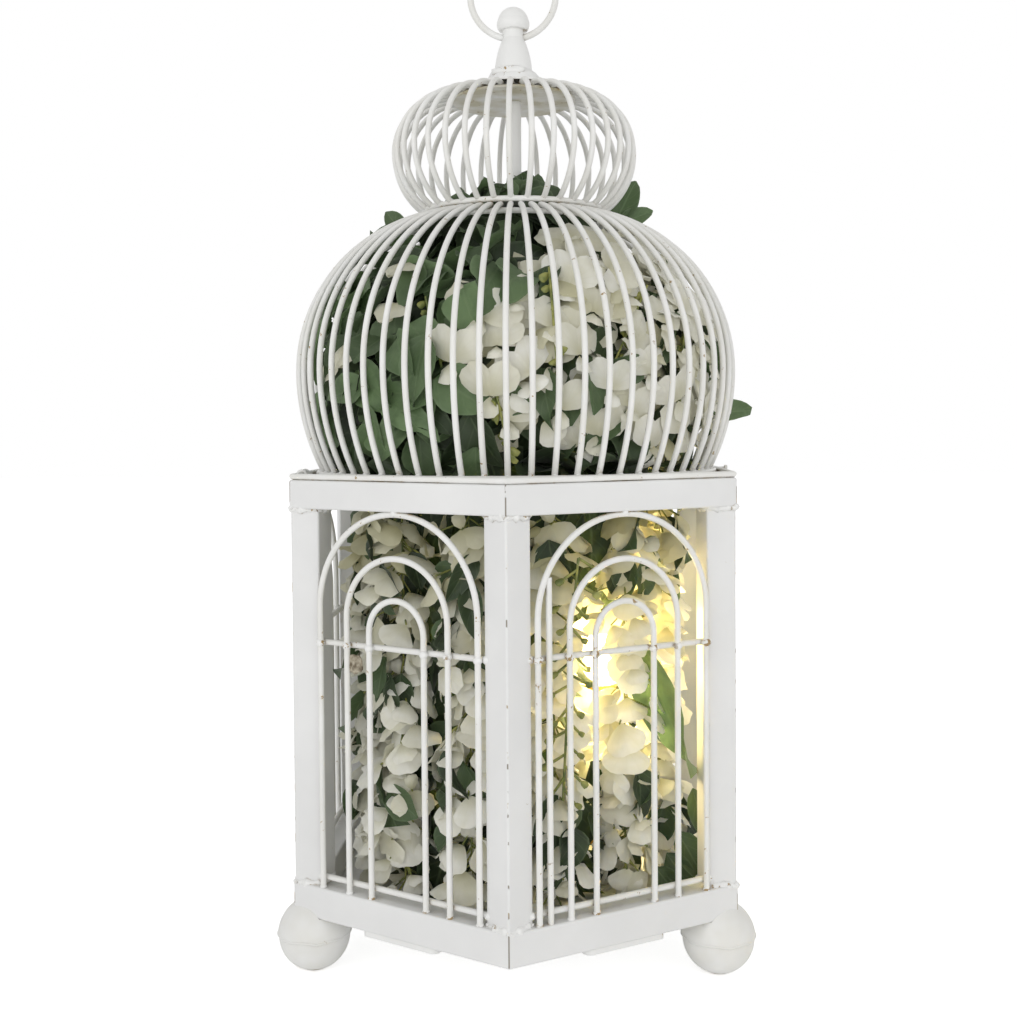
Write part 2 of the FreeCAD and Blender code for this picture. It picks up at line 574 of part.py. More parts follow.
def lamp_globe():
    """Clear glass globe with an open neck that stands in the holder's cup."""
    tube, socket, top = lamp_levels()
    cup = top - SOCKET_HEIGHT / 2
    centre = top + GLOBE_RISE
    inner_neck = GLOBE_NECK_RADIUS - GLOBE_WALL
    outer = Part.makeSphere(GLOBE_RADIUS, at(0, 0, centre))
    outer = outer.fuse(Part.makeCylinder(GLOBE_NECK_RADIUS, centre - cup, at(0, 0, cup)))
    inner = Part.makeSphere(GLOBE_RADIUS - GLOBE_WALL, at(0, 0, centre))
    inner = inner.fuse(Part.makeCylinder(inner_neck, centre - cup, at(0, 0, cup)))
    return moved(outer.cut(inner).removeSplitter(), LAMP_X, 0, 0)


def lamp_filament():
    """Upright LED filaments on a thin stem, inside the globe."""
    tube, socket, top = lamp_levels()
    cup = top - SOCKET_HEIGHT / 2
    centre = top + GLOBE_RISE
    low = centre - FILAMENT_LENGTH / 2
    stem = Part.makeCylinder(FILAMENT_STEM_RADIUS, low - cup, at(0, 0, cup))
    plate = Part.makeCylinder(FILAMENT_SPREAD + 2 * FILAMENT_RADIUS, FILAMENT_RADIUS, at(0, 0, low))
    bar = Part.makeCylinder(FILAMENT_RADIUS, FILAMENT_LENGTH, at(FILAMENT_SPREAD, 0, low))
    bars = [turned(bar, 90 * i) for i in range(4)]
    return moved(stem.fuse([plate] + bars).removeSplitter(), LAMP_X, 0, 0)


def raceme(radius):
    """Plain body of one hanging wisteria raceme, its tip on the floor pan, at the front side."""
    top = TOP_RAIL_UNDERSIDE - RACEME_HEADROOM
    shoulder = top - radius
    crest = radius * math.cos(math.radians(45))
    tip_radius = radius * RACEME_TIP_SHARE
    tip = Part.makeLine(at(0, 0, PAN_TOP), at(tip_radius, 0, PAN_TOP))
    flank = Part.makeLine(at(tip_radius, 0, PAN_TOP), at(radius, 0, shoulder))
    crown = Part.Arc(at(radius, 0, shoulder), at(crest, 0, shoulder + crest), at(0, 0, top)).toShape()
    spine = Part.makeLine(at(0, 0, top), at(0, 0, PAN_TOP))
    body = Part.Face(Part.Wire([tip, flank, crown, spine])).revolve(AXIS_POINT, UP, 360)
    return moved(body, 0, -RACEME_RING, 0)


def wisteria(name):
    """Two racemes behind one side's grille."""
    radius = RACEME_RADIUS * (SLIM_RACEME_SHARE if name == SLIM_SIDE else 1)
    body = raceme(radius)
    spread = SIDE_TURN / 4
    angle = side_angle(name)
    return Part.makeCompound([turned(body, angle - spread), turned(body, angle + spread)])


def spray_half():
    """Half of the dome's filling, up against the inside of the dome wires."""
    inside = DOME_BULGE_RADIUS - WIRE_RADIUS
    floor = TOP_RAIL_TOP + SPRAY_FLOOR
    roof = NECK_Z - SPRAY_HEADROOM
    low_centre, high_centre = dome_centres()

    def edge_radius(centre, z):
        return centre + math.sqrt((inside - centre) ** 2 - (z - BULGE_Z) ** 2)

    def arc(centre, z_from, z_to):
        middle = (z_from + z_to) / 2
        points = [at(edge_radius(centre, z), 0, z) for z in (z_from, middle, z_to)]
        return Part.Arc(*points).toShape()

    floor_edge = edge_radius(low_centre, floor)
    roof_edge = edge_radius(high_centre, roof)
    outline = Part.Wire([
        Part.makeLine(at(SPRAY_INNER_RADIUS, 0, floor), at(floor_edge, 0, floor)),
        arc(low_centre, floor, BULGE_Z),
        arc(high_centre, BULGE_Z, roof),
        Part.makeLine(at(roof_edge, 0, roof), at(SPRAY_INNER_RADIUS, 0, roof)),
        Part.makeLine(at(SPRAY_INNER_RADIUS, 0, roof), at(SPRAY_INNER_RADIUS, 0, floor))])
    return Part.Face(outline).revolve(AXIS_POINT, UP, SPRAY_ANGLE)


def blossom_spray():
    """White blossom in the right half of the dome."""
    return turned(spray_half(), -90 + CARD_GAP_ANGLE)


def leaf_spray():
    """Leaves in the left half of the dome, and a sprig round the rod above the neck."""
    half = turned(spray_half(), 90 + CARD_GAP_ANGLE)
    low = bridge_top()
    inner = ROD_RADIUS + SPRIG_CLEARANCE
    sprig = revolved([(inner, low), (SPRIG_RADIUS, low), (SPRIG_RADIUS * 0.8, low + SPRIG_HEIGHT * 0.7),
                      (inner, low + SPRIG_HEIGHT)])
    return Part.makeCompound([half, sprig])


def nodes():
    """Every piece of the lantern by name."""
    pieces = {}
    bottom_rail = rail(RIDE_HEIGHT, BOTTOM_RAIL_HEIGHT)
    top_rail = rail(TOP_RAIL_UNDERSIDE, TOP_RAIL_HEIGHT)
    for name in SIDES:
        pieces["bottom_rail_" + name] = turned(bottom_rail, side_angle(name))
        pieces["top_rail_" + name] = turned(top_rail, side_angle(name))
        pieces["panel_" + name] = panel(name)
        pieces["wisteria_" + name] = wisteria(name)
    corner_post = post()
    for name in CORNERS:
        pieces["post_" + name] = turned(corner_post, corner_angle(name))
    upper = foot_upper()
    lower = foot_lower()
    for name in FOOT_CORNERS:
        pieces["foot_upper_" + name] = turned(upper, corner_angle(name))
        pieces["foot_lower_" + name] = turned(lower, corner_angle(name))
    pieces["floor_pan"] = floor_pan()
    pieces["hinge_strap_front"] = hinge_strap(STRAP_SPREAD)
    pieces["hinge_strap_back"] = hinge_strap(-STRAP_SPREAD)
    pieces["latch_rivet"] = latch_rivet()
    pieces["lamp_base"] = lamp_base()
    pieces["lamp_holder"] = lamp_holder()
    pieces["lamp_globe"] = lamp_globe()
    pieces["lamp_filament"] = lamp_filament()
    pieces["lid_rim"] = lid_rim()
    pieces["lid_base_ring"] = wire_ring(BASE_RING_RADIUS, RIM_Z)
    pieces["dome_wires"] = ring_of(dome_wire(), DOME_WIRES)
    pieces["neck_ring"] = neck_ring()
    pieces["crown_base_ring"] = wire_ring(CROWN_RING_RADIUS, CROWN_RING_Z)
    pieces["crown_wires"] = ring_of(crown_wire(), CROWN_WIRES)
    pieces["crown_disc"] = crown_disc()
    pieces["crown_cap"] = crown_cap()
    pieces["finial"] = finial()
    pieces["finial_rod"] = finial_rod()
    pieces["neck_bridge"] = neck_bridge()
    pieces["latch_stud"] = latch_stud()
    pieces["blossom_spray"] = blossom_spray()
    pieces["leaf_spray"] = leaf_spray()
    pieces["carry_ring"] = carry_ring()
    pieces["latch_hook"] = latch_hook()
    return pieces


os.makedirs("parts", exist_ok=True)
for node, shape in nodes().items():
    shape.exportStep("parts/" + node + ".step")
print("hinge axis x", -RIM_APOTHEM, "z", RIM_Z, "foot pad y", FOOT_RADIUS)
print("ring axis z", RING_HOLE_Z, "hook pivot x", APOTHEM, "z", HOOK_PIVOT_Z)
print("rails top", TOP_RAIL_TOP, "finial", FINIAL_Z, "to", FINIAL_Z + FINIAL_HEIGHT)
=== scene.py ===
# %% [markdown]
# # A worn white birdcage lantern
# The real object is a six-sided cage of square steel tube and bent wire, painted white long ago and
# chipped since. It has a two-tier wire dome for a lid, and it is filled with silk wisteria, leaves and
# one warm lamp. The metal comes from the CAD model as it is. Here it gets its paint, its weld beads, its
# flowers and its light.

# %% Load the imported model
import math
import random
from functools import partial
import bpy
from mathutils import Matrix, Vector, noise


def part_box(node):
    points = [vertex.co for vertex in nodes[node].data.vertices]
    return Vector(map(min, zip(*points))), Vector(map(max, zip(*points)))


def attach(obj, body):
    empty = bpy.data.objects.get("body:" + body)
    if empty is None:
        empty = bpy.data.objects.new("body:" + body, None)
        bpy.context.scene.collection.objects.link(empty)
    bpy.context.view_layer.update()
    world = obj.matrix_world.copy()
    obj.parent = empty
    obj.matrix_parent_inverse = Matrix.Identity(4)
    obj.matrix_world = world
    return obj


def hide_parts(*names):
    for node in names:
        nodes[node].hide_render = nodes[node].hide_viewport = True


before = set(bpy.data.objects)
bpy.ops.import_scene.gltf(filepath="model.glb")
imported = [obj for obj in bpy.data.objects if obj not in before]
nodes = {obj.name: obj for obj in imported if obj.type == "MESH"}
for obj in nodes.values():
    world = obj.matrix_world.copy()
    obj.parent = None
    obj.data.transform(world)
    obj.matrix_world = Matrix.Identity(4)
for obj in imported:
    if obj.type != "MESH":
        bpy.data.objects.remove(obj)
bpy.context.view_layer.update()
MM = 0.001
SIDES = ("front_right", "right", "back_right", "back_left", "left", "front_left")

# %% [markdown]
# ## Small helpers for materials
# Colours are written as the hex values that a screen shows, and nodes want linear light, so one function
# turns one into the other. Another adds any node with its settings and links, and gives back the socket
# that the next node reads. Inputs are named, or listed in the node's own order: Map Range takes a value,
# the range it comes from and the range it goes to. A Mix node set to colours has its factor in input 0, its
# colours A and B in inputs 6 and 7, and its result in output 2. Patterns are sized in millimetres: a
# texture's scale is how many of its features fit in a metre.

# %% Colour, pattern size and node
FACTOR, A, B = 0, 6, 7
COLOURS = {"out": 2, "data_type": "RGBA"}


def srgb(code):
    parts = [int(code[i:i + 2], 16) / 255 for i in (1, 3, 5)]
    linear = [p / 12.92 if p <= 0.04045 else ((p + 0.055) / 1.055) ** 2.4 for p in parts]
    return (*linear, 1.0)


def per_mm(size):
    return 1000.0 / size


def feed(node, inputs):
    for key, value in inputs.items() if isinstance(inputs, dict) else enumerate(inputs):
        if isinstance(value, bpy.types.NodeSocket):
            node.id_data.links.new(value, node.inputs[key])
        elif isinstance(value, str):
            node.inputs[key].default_value = srgb(value)
        else:
            node.inputs[key].default_value = value


def add_node(tree, kind, inputs=(), out=0, **settings):
    node = tree.nodes.new("ShaderNode" + kind)
    for name, value in settings.items():
        setattr(node, name, value)
    feed(node, inputs)
    return node.outputs[out] if len(node.outputs) else None


def new_material(name):
    material = bpy.data.materials.new(name)
    material.use_nodes = True
    add = partial(add_node, material.node_tree)
    return material, add, material.node_tree.nodes["Principled BSDF"], add("TexCoord", out="Object")


print("white is", srgb("#FFFFFF"), "and 4 mm spots have scale", per_mm(4))

# %% [markdown]
# ## Chipped white enamel on steel
# The frame was brushed white over brown primer. The eye sees a soft satin white that varies a little from
# place to place, grey grime and painted shade in the corners beside the welds, and brown dots where the
# paint has come off.
# The paint of rails and posts is duller than that of wires and balls, and some of it has yellowed.
# Ambient Occlusion finds the corners and greys them, partly as grime and partly as painted shade, and rust
# gathers there too. Where two rails are mitred together at a corner of the hexagon a dark seam shows, and
# along the outer edge of a post the same line is broken into short dashes. That line is found from the angle
# round the cage's axis: it is near each sixth of a turn, or SIDE_ARC in millimetres.

# %% Enamel
OLD_WHITE = ("#DADAD9", "#ECECEB")
FRESH_WHITE = ("#E2E2E0", "#F3F3F1")
SIDE_ARC = 136


def enamel(name, whites, stain_and_shade_reach, spots_from, dirt_and_shade, painted_over=None, yellowing=0.0):
    material, add, shader, place = new_material(name)
    cloud = add("TexNoise", {"Vector": place, "Scale": per_mm(38), "Detail": 3.0})
    flakes = add("TexNoise", {"Vector": place, "Scale": per_mm(3.4), "Detail": 4.0, "Roughness": 0.62})
    patches = add("TexNoise", {"Vector": place, "Scale": per_mm(15)})
    paint = add("Mix", {FACTOR: cloud, A: whites[0], B: whites[1]}, **COLOURS)
    # painted shade and grime: corners and crevices found by Ambient Occlusion turn grey-brown (#857C68), the
    # deeper the darker
    shade = add("AmbientOcclusion", {"Distance": stain_and_shade_reach * MM}, out="AO", samples=4)
    corner = add("MapRange", [shade, 0.6, 0.25])
    patchy_grime_and_shade = add("MapRange", [patches, 0.36, 0.6, 0.0, dirt_and_shade])
    grime_and_shade = add("Math", [corner, patchy_grime_and_shade], operation="MULTIPLY")
    dull = add("Mix", {FACTOR: grime_and_shade, A: paint, B: "#857C68"}, **COLOURS)
    if yellowing:
        stained = add("MapRange", [patches, 0.25, 0.6, 0.0, yellowing])
        dull = add("Mix", {FACTOR: stained, A: dull, B: "#B0A67A"}, **COLOURS)
    bare = add("MapRange", [flakes, spots_from, spots_from + 0.03])
    thin = add("MapRange", [patches, 0.56 - 0.1 * dirt_and_shade, 0.63 - 0.1 * dirt_and_shade])
    spots = add("Math", [bare, thin], operation="MULTIPLY")
    flaky = add("MapRange", [flakes, 0.54 - 0.06 * dirt_and_shade, 0.6 - 0.06 * dirt_and_shade])
    loose = add("Math", [flaky, thin], operation="MULTIPLY")
    rust = add("Math", [corner, loose], operation="MULTIPLY")
    chips = add("Math", [spots, rust], operation="MAXIMUM")
    if painted_over is not None:
        across = add("SeparateXYZ", [place], out="X")
        behind = add("SeparateXYZ", [place], out="Y")
        angle = add("Math", [across, behind], operation="ARCTAN2")
        sixths = add("Math", [angle, 3 / math.pi], operation="MULTIPLY")
        off = add("Math", [sixths, 0.5], operation="PINGPONG")
        line = add("MapRange", [off, 0.5 / SIDE_ARC, 0.15 / SIDE_ARC, 0.0, 0.85])
        breaks = add("TexNoise", {"Vector": place, "Scale": per_mm(8), "Detail": 3.0})
        open_part = add("MapRange", [breaks, painted_over, painted_over + 0.03])
        seam = add("Math", [line, open_part], operation="MULTIPLY")
        chips = add("Math", [chips, seam], operation="MAXIMUM")
    primer = add("Mix", {FACTOR: thin, A: "#655843", B: "#A0875C"}, **COLOURS)
    colour = add("Mix", {FACTOR: chips, A: dull, B: primer}, **COLOURS)
    gloss = add("MapRange", [chips, 0.0, 1.0, 0.46, 0.82])
    brushed = add("TexNoise", {"Vector": place, "Scale": per_mm(9), "Detail": 4.0})
    skin = add("Math", [brushed, chips], operation="SUBTRACT")
    bump = add("Bump", {"Height": skin, "Strength": 0.3, "Distance": 0.25 * MM})
    feed(shader, {"Base Color": colour, "Roughness": gloss, "Normal": bump})
    return material


rail_enamel = enamel("chipped white enamel on mitred rail", OLD_WHITE, 5.0, 0.74, 0.6, 0.46)
post_enamel = enamel("chipped white enamel on post", OLD_WHITE, 5.0, 0.73, 0.6, 0.58)
plate_enamel = enamel("chipped white enamel on plate", FRESH_WHITE, 5.0, 0.72, 0.6)
ball_enamel = enamel("white enamel on pressed ball", FRESH_WHITE, 3.0, 0.71, 0.9, yellowing=0.14)
wire_enamel = enamel("chipped white enamel on wire", FRESH_WHITE, 4.0, 0.66, 0.9, yellowing=0.12)
bead_enamel = enamel("white enamel over weld beads", FRESH_WHITE, 2.6, 0.61, 0.9)
rusty_enamel = enamel("white enamel broken by rust", FRESH_WHITE, 4.0, 0.52, 1.0)
disc_enamel = enamel("stained white enamel on crown disc", FRESH_WHITE, 8.0, 0.62, 0.8, yellowing=0.8)
print("enamels made:", len([m for m in bpy.data.materials if "enamel" in m.name]))

# %% [markdown]
# ## Rust, stem plastic and puck plastic
# Three plain materials are two colours mixed by one noise, which also makes their relief. A weld that has
# lost its paint shows a rough brown crust, flower stems are moulded in plastic streaked from olive to
# yellow-green, and the lamp's puck is matt plastic with a fine grain.

# %% Speckled materials
def speckled(name, size, detail, low, high, colours, roughness, strength, depth):
    material, add, shader, place = new_material(name)
    specks = add("TexNoise", {"Vector": place, "Scale": per_mm(size), "Detail": detail})
    blend = add("MapRange", [specks, low, high])
    colour = add("Mix", {FACTOR: blend, A: colours[0], B: colours[1]}, **COLOURS)
    bump = add("Bump", {"Height": specks, "Strength": strength, "Distance": depth * MM})
    feed(shader, {"Base Color": colour, "Normal": bump, "Roughness": roughness})
    return material


bare_rust = speckled("bare rusted weld", 2.5, 4.0, 0.36, 0.64, ("#6A5F4C", "#B7AE9A"), 0.8, 0.6, 0.4)
stem_stuff = speckled("moulded plastic of flower stems", 6, 2.0, 0.35, 0.65, ("#5C6A36", "#A6A65C"),
                      0.5, 0.3, 0.2)
puck_stuff = speckled("matt moulded plastic", 0.9, 2.0, 0.0, 1.0, ("#D8D5CB", "#E4E2DA"), 0.6, 0.3, 0.1)
print("made:", bare_rust.name, "and", stem_stuff.name, "and", puck_stuff.name)

# %% [markdown]
# ## Silk petals
# The flowers are cut from thin polyester satin. Light passes through it, so a petal glows when the lamp is
# behind it: a Translucent shader is mixed with the Principled one, and each petal can stay a single sheet.
# The tone of a petal, from shaded beige to white, is an attribute set on every copy. Its yellow-green
# throat, spread wide as a painted shade that darkens the petal towards its foot, and a few faint creases
# follow the UV map of the disc that it was cut from.

# %% Petal cloth
def let_through(material, add, shader, colour, bump, share):
    through = add("BsdfTranslucent", {"Color": colour, "Normal": bump})
    both = add("MixShader", [share, shader.outputs[0], through])
    feed(material.node_tree.nodes["Material Output"], {"Surface": both})


def petal_silk():
    material, add, shader, place = new_material("satin of silk petals")
    tone = add("Attribute", out="Fac", attribute_name="tone")
    cloth = add("UVMap", uv_map="UVMap")
    blotch = add("TexNoise", {"Vector": place, "Scale": per_mm(9)})
    white = add("Mix", {FACTOR: tone, A: "#BDB780", B: "#FBFAF2"}, **COLOURS)
    creamy = add("MapRange", [blotch, 0.42, 0.75, 0.0, 0.3])
    cream = add("Mix", {FACTOR: creamy, A: white, B: "#DEDBB8"}, **COLOURS)
    foot = add("VectorMath", [cloth, (0.5, 0.0, 0.0)], operation="SUBTRACT")
    reach = add("VectorMath", [foot], out="Value", operation="LENGTH")
    # the throat's own olive and painted shade: it reaches far up the petal, darkening it towards its foot
    throat_and_shade = add("MapRange", [reach, 0.62, 0.05, 0.0, 0.46])
    throat_shaded_colour = add("Mix", {FACTOR: throat_and_shade, A: cream, B: "#ADA869"}, **COLOURS)
    sideways = add("SeparateXYZ", [foot], out="X")
    upwards = add("SeparateXYZ", [foot], out="Y")
    fan = add("Math", [sideways, upwards], operation="ARCTAN2")
    ribs = add("Math", [fan, 6.0], operation="MULTIPLY")
    crease = add("Math", [ribs, 1.0], operation="PINGPONG")
    faint = add("MapRange", [crease, 0.4, 0.0, 0.0, 0.05])
    colour = add("Mix", {FACTOR: faint, A: throat_shaded_colour, B: "#BDB995"}, **COLOURS)
    weave = add("TexNoise", {"Vector": place, "Scale": per_mm(1.2)})
    height = add("Math", [weave, faint], operation="SUBTRACT")
    bump = add("Bump", {"Height": height, "Strength": 0.25, "Distance": 0.15 * MM})
    feed(shader, {"Base Color": colour, "Normal": bump, "Roughness": 0.6, "Sheen Weight": 0.12})
    let_through(material, add, shader, colour, bump, 0.23)
    return material


petal_cloth = petal_silk()
print(petal_cloth.name, "has", len(petal_cloth.node_tree.nodes), "nodes")

# %% [markdown]
# ## Silk leaves
# The leaves are printed cloth: a grey-green that differs from leaf to leaf, with a paler rib, paler side
# veins and a pale cut edge. The darkest tones, near black, are painted shade for leaves deep inside the
# cage and the dome. Rib, veins and edge come from the UV map, whose middle line is the rib.

# %% Leaf cloth
def leaf_silk():
    material, add, shader, place = new_material("printed silk of leaves")
    tone = add("Attribute", out="Fac", attribute_name="tone")
    cloth = add("UVMap", uv_map="UVMap")
    width = add("SeparateXYZ", [cloth], out="X")
    length = add("SeparateXYZ", [cloth], out="Y")
    middle = add("Math", [width, 0.5], operation="SUBTRACT")
    side = add("Math", [middle], operation="ABSOLUTE")
    rib = add("MapRange", [side, 0.045, 0.015])
    slope = add("Math", [side, -0.7, length], operation="MULTIPLY_ADD")
    rows = add("Math", [slope, 8.0], operation="MULTIPLY")
    saw = add("Math", [rows, 1.0], operation="PINGPONG")
    veins = add("MapRange", [saw, 0.2, 0.05, 0.0, 0.4])
    lines = add("Math", [rib, veins], operation="MAXIMUM")
    mottle = add("TexNoise", {"Vector": place, "Scale": per_mm(11), "Detail": 3.0})
    # tone 0 is near black: painted shade for the leaves deep inside
    green = add("Mix", {FACTOR: tone, A: "#18220F", B: "#7C9768"}, **COLOURS)
    dappled = add("MapRange", [mottle, 0.4, 0.7, 0.0, 0.45])
    patchy = add("Mix", {FACTOR: dappled, A: green, B: "#3F5832"}, **COLOURS)
    faint = add("Math", [lines, 0.16], operation="MULTIPLY")
    veined = add("Mix", {FACTOR: faint, A: patchy, B: "#96AB80"}, **COLOURS)
    edge = add("MapRange", [side, 0.42, 0.5, 0.0, 0.2])
    colour = add("Mix", {FACTOR: edge, A: veined, B: "#96AA85"}, **COLOURS)
    height = add("Math", [mottle, lines], operation="SUBTRACT")
    bump = add("Bump", {"Height": height, "Strength": 0.35, "Distance": 0.3 * MM})
    feed(shader, {"Base Color": colour, "Normal": bump, "Roughness": 0.52, "Sheen Weight": 0.08})
    let_through(material, add, shader, colour, bump, 0.28)
    return material


leaf_cloth = leaf_silk()
print(leaf_cloth.name, "has", len(leaf_cloth.node_tree.nodes), "nodes")

# %% [markdown]
# ## Materials of the lamp
# Of the lamp the picture shows only a hot white glow, so it gets plain, believable finishes: a satin brass
# stand, LED strips and a lightly frosted bulb. A frosted bulb scatters the light of what is inside it, so
# its glass is mostly Transparent with some glow of its own, and it throws no shadow on the petals.

# %% Lamp finishes
def lamp_brass():
    material, add, shader, place = new_material("satin brass")
    stretch = add("Mapping", {"Vector": place, "Scale": (1.0, 1.0, 8.0)})
    lathe = add("TexNoise", {"Vector": stretch, "Scale": per_mm(6), "Detail": 3.0})
    colour = add("Mix", {FACTOR: lathe, A: "#A98545", B: "#C8A868"}, **COLOURS)
    gloss = add("MapRange", [lathe, 0.0, 1.0, 0.28, 0.45])
    feed(shader, {"Base Color": colour, "Roughness": gloss, "Metallic": 1.0})
    return material


def bulb_glass():
    material, add, shader, place = new_material("lightly frosted bulb glass")
    haze = add("TexNoise", {"Vector": place, "Scale": per_mm(16)})
    glow = add("MapRange", [haze, 0.0, 1.0, 1.2, 2.6])
    feed(shader, {"Base Color": "#FFF4DC", "Emission Color": "#FFE9B8",
                  "Emission Strength": glow, "Roughness": 0.2})
    clear = add("BsdfTransparent", {"Color": "#FFFAF0"})
    both = add("MixShader", [0.3, clear, shader.outputs[0]])
    feed(material.node_tree.nodes["Material Output"], {"Surface": both})
    return material


def led_strip():
    material, add, shader, place = new_material("lit LED strip")
    dots = add("TexNoise", {"Vector": place, "Scale": per_mm(2)})
    colour = add("Mix", {FACTOR: dots, A: "#FFD98A", B: "#FFF0C8"}, **COLOURS)
    feed(shader, {"Base Color": colour, "Emission Color": colour, "Emission Strength": 20.0})
    return material


LAMP_PAINTS = {"lamp_base": puck_stuff, "lamp_holder": lamp_brass(), "lamp_globe": bulb_glass(),
               "lamp_filament": led_strip()}
print("lamp finishes:", [material.name for material in LAMP_PAINTS.values()])

# %% Paint the CAD nodes
def paint_node(name, material):
    slots = nodes[name].data.materials
    slots.clear()
    slots.append(material)


PLATES = ("floor_pan", "hinge_strap", "crown_cap", "finial", "neck_bridge", "latch_hook")
PAINTS = ((("bottom_rail", "top_rail"), rail_enamel), ("post", post_enamel), ("foot", ball_enamel),
          ("crown_disc", disc_enamel), (PLATES, plate_enamel), ("", wire_enamel))
for name in nodes:
    paint_node(name, next(paint for start, paint in PAINTS if name.startswith(start)))
for name, material in LAMP_PAINTS.items():
    paint_node(name, material)
print("CAD nodes painted:", len(nodes))

# %% [markdown]
# ## Working with copies
# A petal, a leaf or a weld bead is modelled once and then copied many times. Every copy has a mesh of its
# own, so that it can carry its own tone, and the copies of one bunch are joined to one piece. The piece's
# place goes into its mesh, so its object stays at the origin.

# %% Copy and join
def select(*parts):
    bpy.ops.object.select_all(action="DESELECT")
    for part in parts:
        part.select_set(True)
    bpy.context.view_layer.objects.active = parts[0]


def join(parts):
    select(*parts)
    bpy.ops.object.join()
    bpy.ops.object.transform_apply()
    return parts[0]


def linked(name, data):
    obj = bpy.data.objects.new(name, data)
    bpy.context.collection.objects.link(obj)
    return obj


def bunch(name, placings, material):
    copies = []
    for model, place, tone in placings:
        copy = linked(name, model.data.copy())
        copy.matrix_world = place
        layer = copy.data.attributes.new("tone", "FLOAT", "POINT")
        layer.data.foreach_set("value", [tone] * len(copy.data.vertices))
        copies.append(copy)
    piece = join(copies)
    piece.name = name
    piece.data.name = name
    piece.data.materials.clear()
    piece.data.materials.append(material)
    return piece


def put_away(*models):
    for model in models:
        bpy.data.objects.remove(model)


def turn(degrees):
    return Matrix.Rotation(math.radians(degrees), 4, "Z")


def spot(x, y, z):
    return Matrix.Translation((x * MM, y * MM, z * MM))


print("a quarter turn:", turn(90).to_euler())

# %% [markdown]
# Everything that lies by chance is thrown with one seeded die, so it falls the same way in every run.

# %% Chance and directions
UP, DOWN = (0, 0, 1), (0, 0, -1)
GOLDEN_ANGLE, GOLDEN_SHARE = 2.4, 0.618034
dice = random.Random(11)
between = dice.uniform


def tumble(amount):
    return Matrix.Rotation(between(-amount, amount), 4, dice.choice("XYZ"))


def sway(sideways, low, high):
    return Vector((between(-sideways, sideways), between(-sideways, sideways), between(low, high)))


def rise(height):
    return Vector((0, 0, height))


def ray_at(angle, climb=0.0):
    """Direction at an angle from the front, counted to the right, with a climb of its own."""
    return Vector((math.sin(angle), -math.cos(angle), climb))


print("to the right:", ray_at(math.pi / 2))

# %% [markdown]
# ## Weld beads
# Where tube meets tube the welder left a scalloped seam, and where wire meets wire a small blob. Both
# start as a sphere that is stretched and then dented: the seam by a wave along its length, like the ripples
# of a weld, and both by noise, so that no bead is perfectly round. The paint lies thick over them.

# %% Model a seam and the blobs
LUMPS_PER_MM = 0.45
RIPPLE_LENGTH = 6.4


def lumpy(radii, depth, seed, segments, rings, ripple=0.0):
    bpy.ops.mesh.primitive_uv_sphere_add(segments=segments, ring_count=rings, radius=1.0)
    bead = bpy.context.active_object
    bpy.ops.object.mode_set(mode="EDIT")
    bpy.ops.mesh.select_all(action="SELECT")
    bpy.ops.transform.rotate(value=math.pi / 2, orient_axis="Y", center_override=(0, 0, 0))
    bpy.ops.transform.resize(value=[r * MM for r in radii], center_override=(0, 0, 0))
    bpy.ops.object.mode_set(mode="OBJECT")
    for vertex in bead.data.vertices:
        wobble = depth * noise.noise(vertex.co * (LUMPS_PER_MM / MM) + Vector((seed, 0, 0)))
        swell = 1 + ripple * math.sin(vertex.co.x / MM * math.tau / RIPPLE_LENGTH + seed)
        rippled = Vector((vertex.co.x, vertex.co.y * swell, vertex.co.z * swell))
        vertex.co = rippled + vertex.normal * wobble * MM
    bpy.ops.object.shade_smooth()
    return bead


seam_beads = [lumpy((8.8, 1.8, 2.3), 1.5, seed, 10, 22, 0.13) for seed in (3.1, 5.6, 9.2)]
blob_bead = lumpy((2.3, 2.3, 2.1), 0.5, 8.7, 12, 7)
wire_bead = lumpy((1.9, 1.9, 1.5), 0.4, 1.3, 9, 5)
finial_weld = lumpy((15.0, 14.2, 9.6), 1.5, 4.4, 30, 14)
finial_fold = lumpy((9.5, 2.6, 2.6), 1.2, 6.1, 14, 10)
rust_patch = lumpy((5.4, 1.1, 4.8), 1.0, 2.2, 14, 12)
BEADS = (*seam_beads, blob_bead, wire_bead, finial_weld, finial_fold, rust_patch)
print("bead faces:", [len(bead.data.polygons) for bead in BEADS])

# %% [markdown]
# The seams run along the feet and the tops of the posts, on all four flanks. Blobs hold the cross bars and
# sill wires to the posts, the legs of the arches to the rails, and the dome wires to their rings. The levels
# come from the CAD nodes' own boxes.

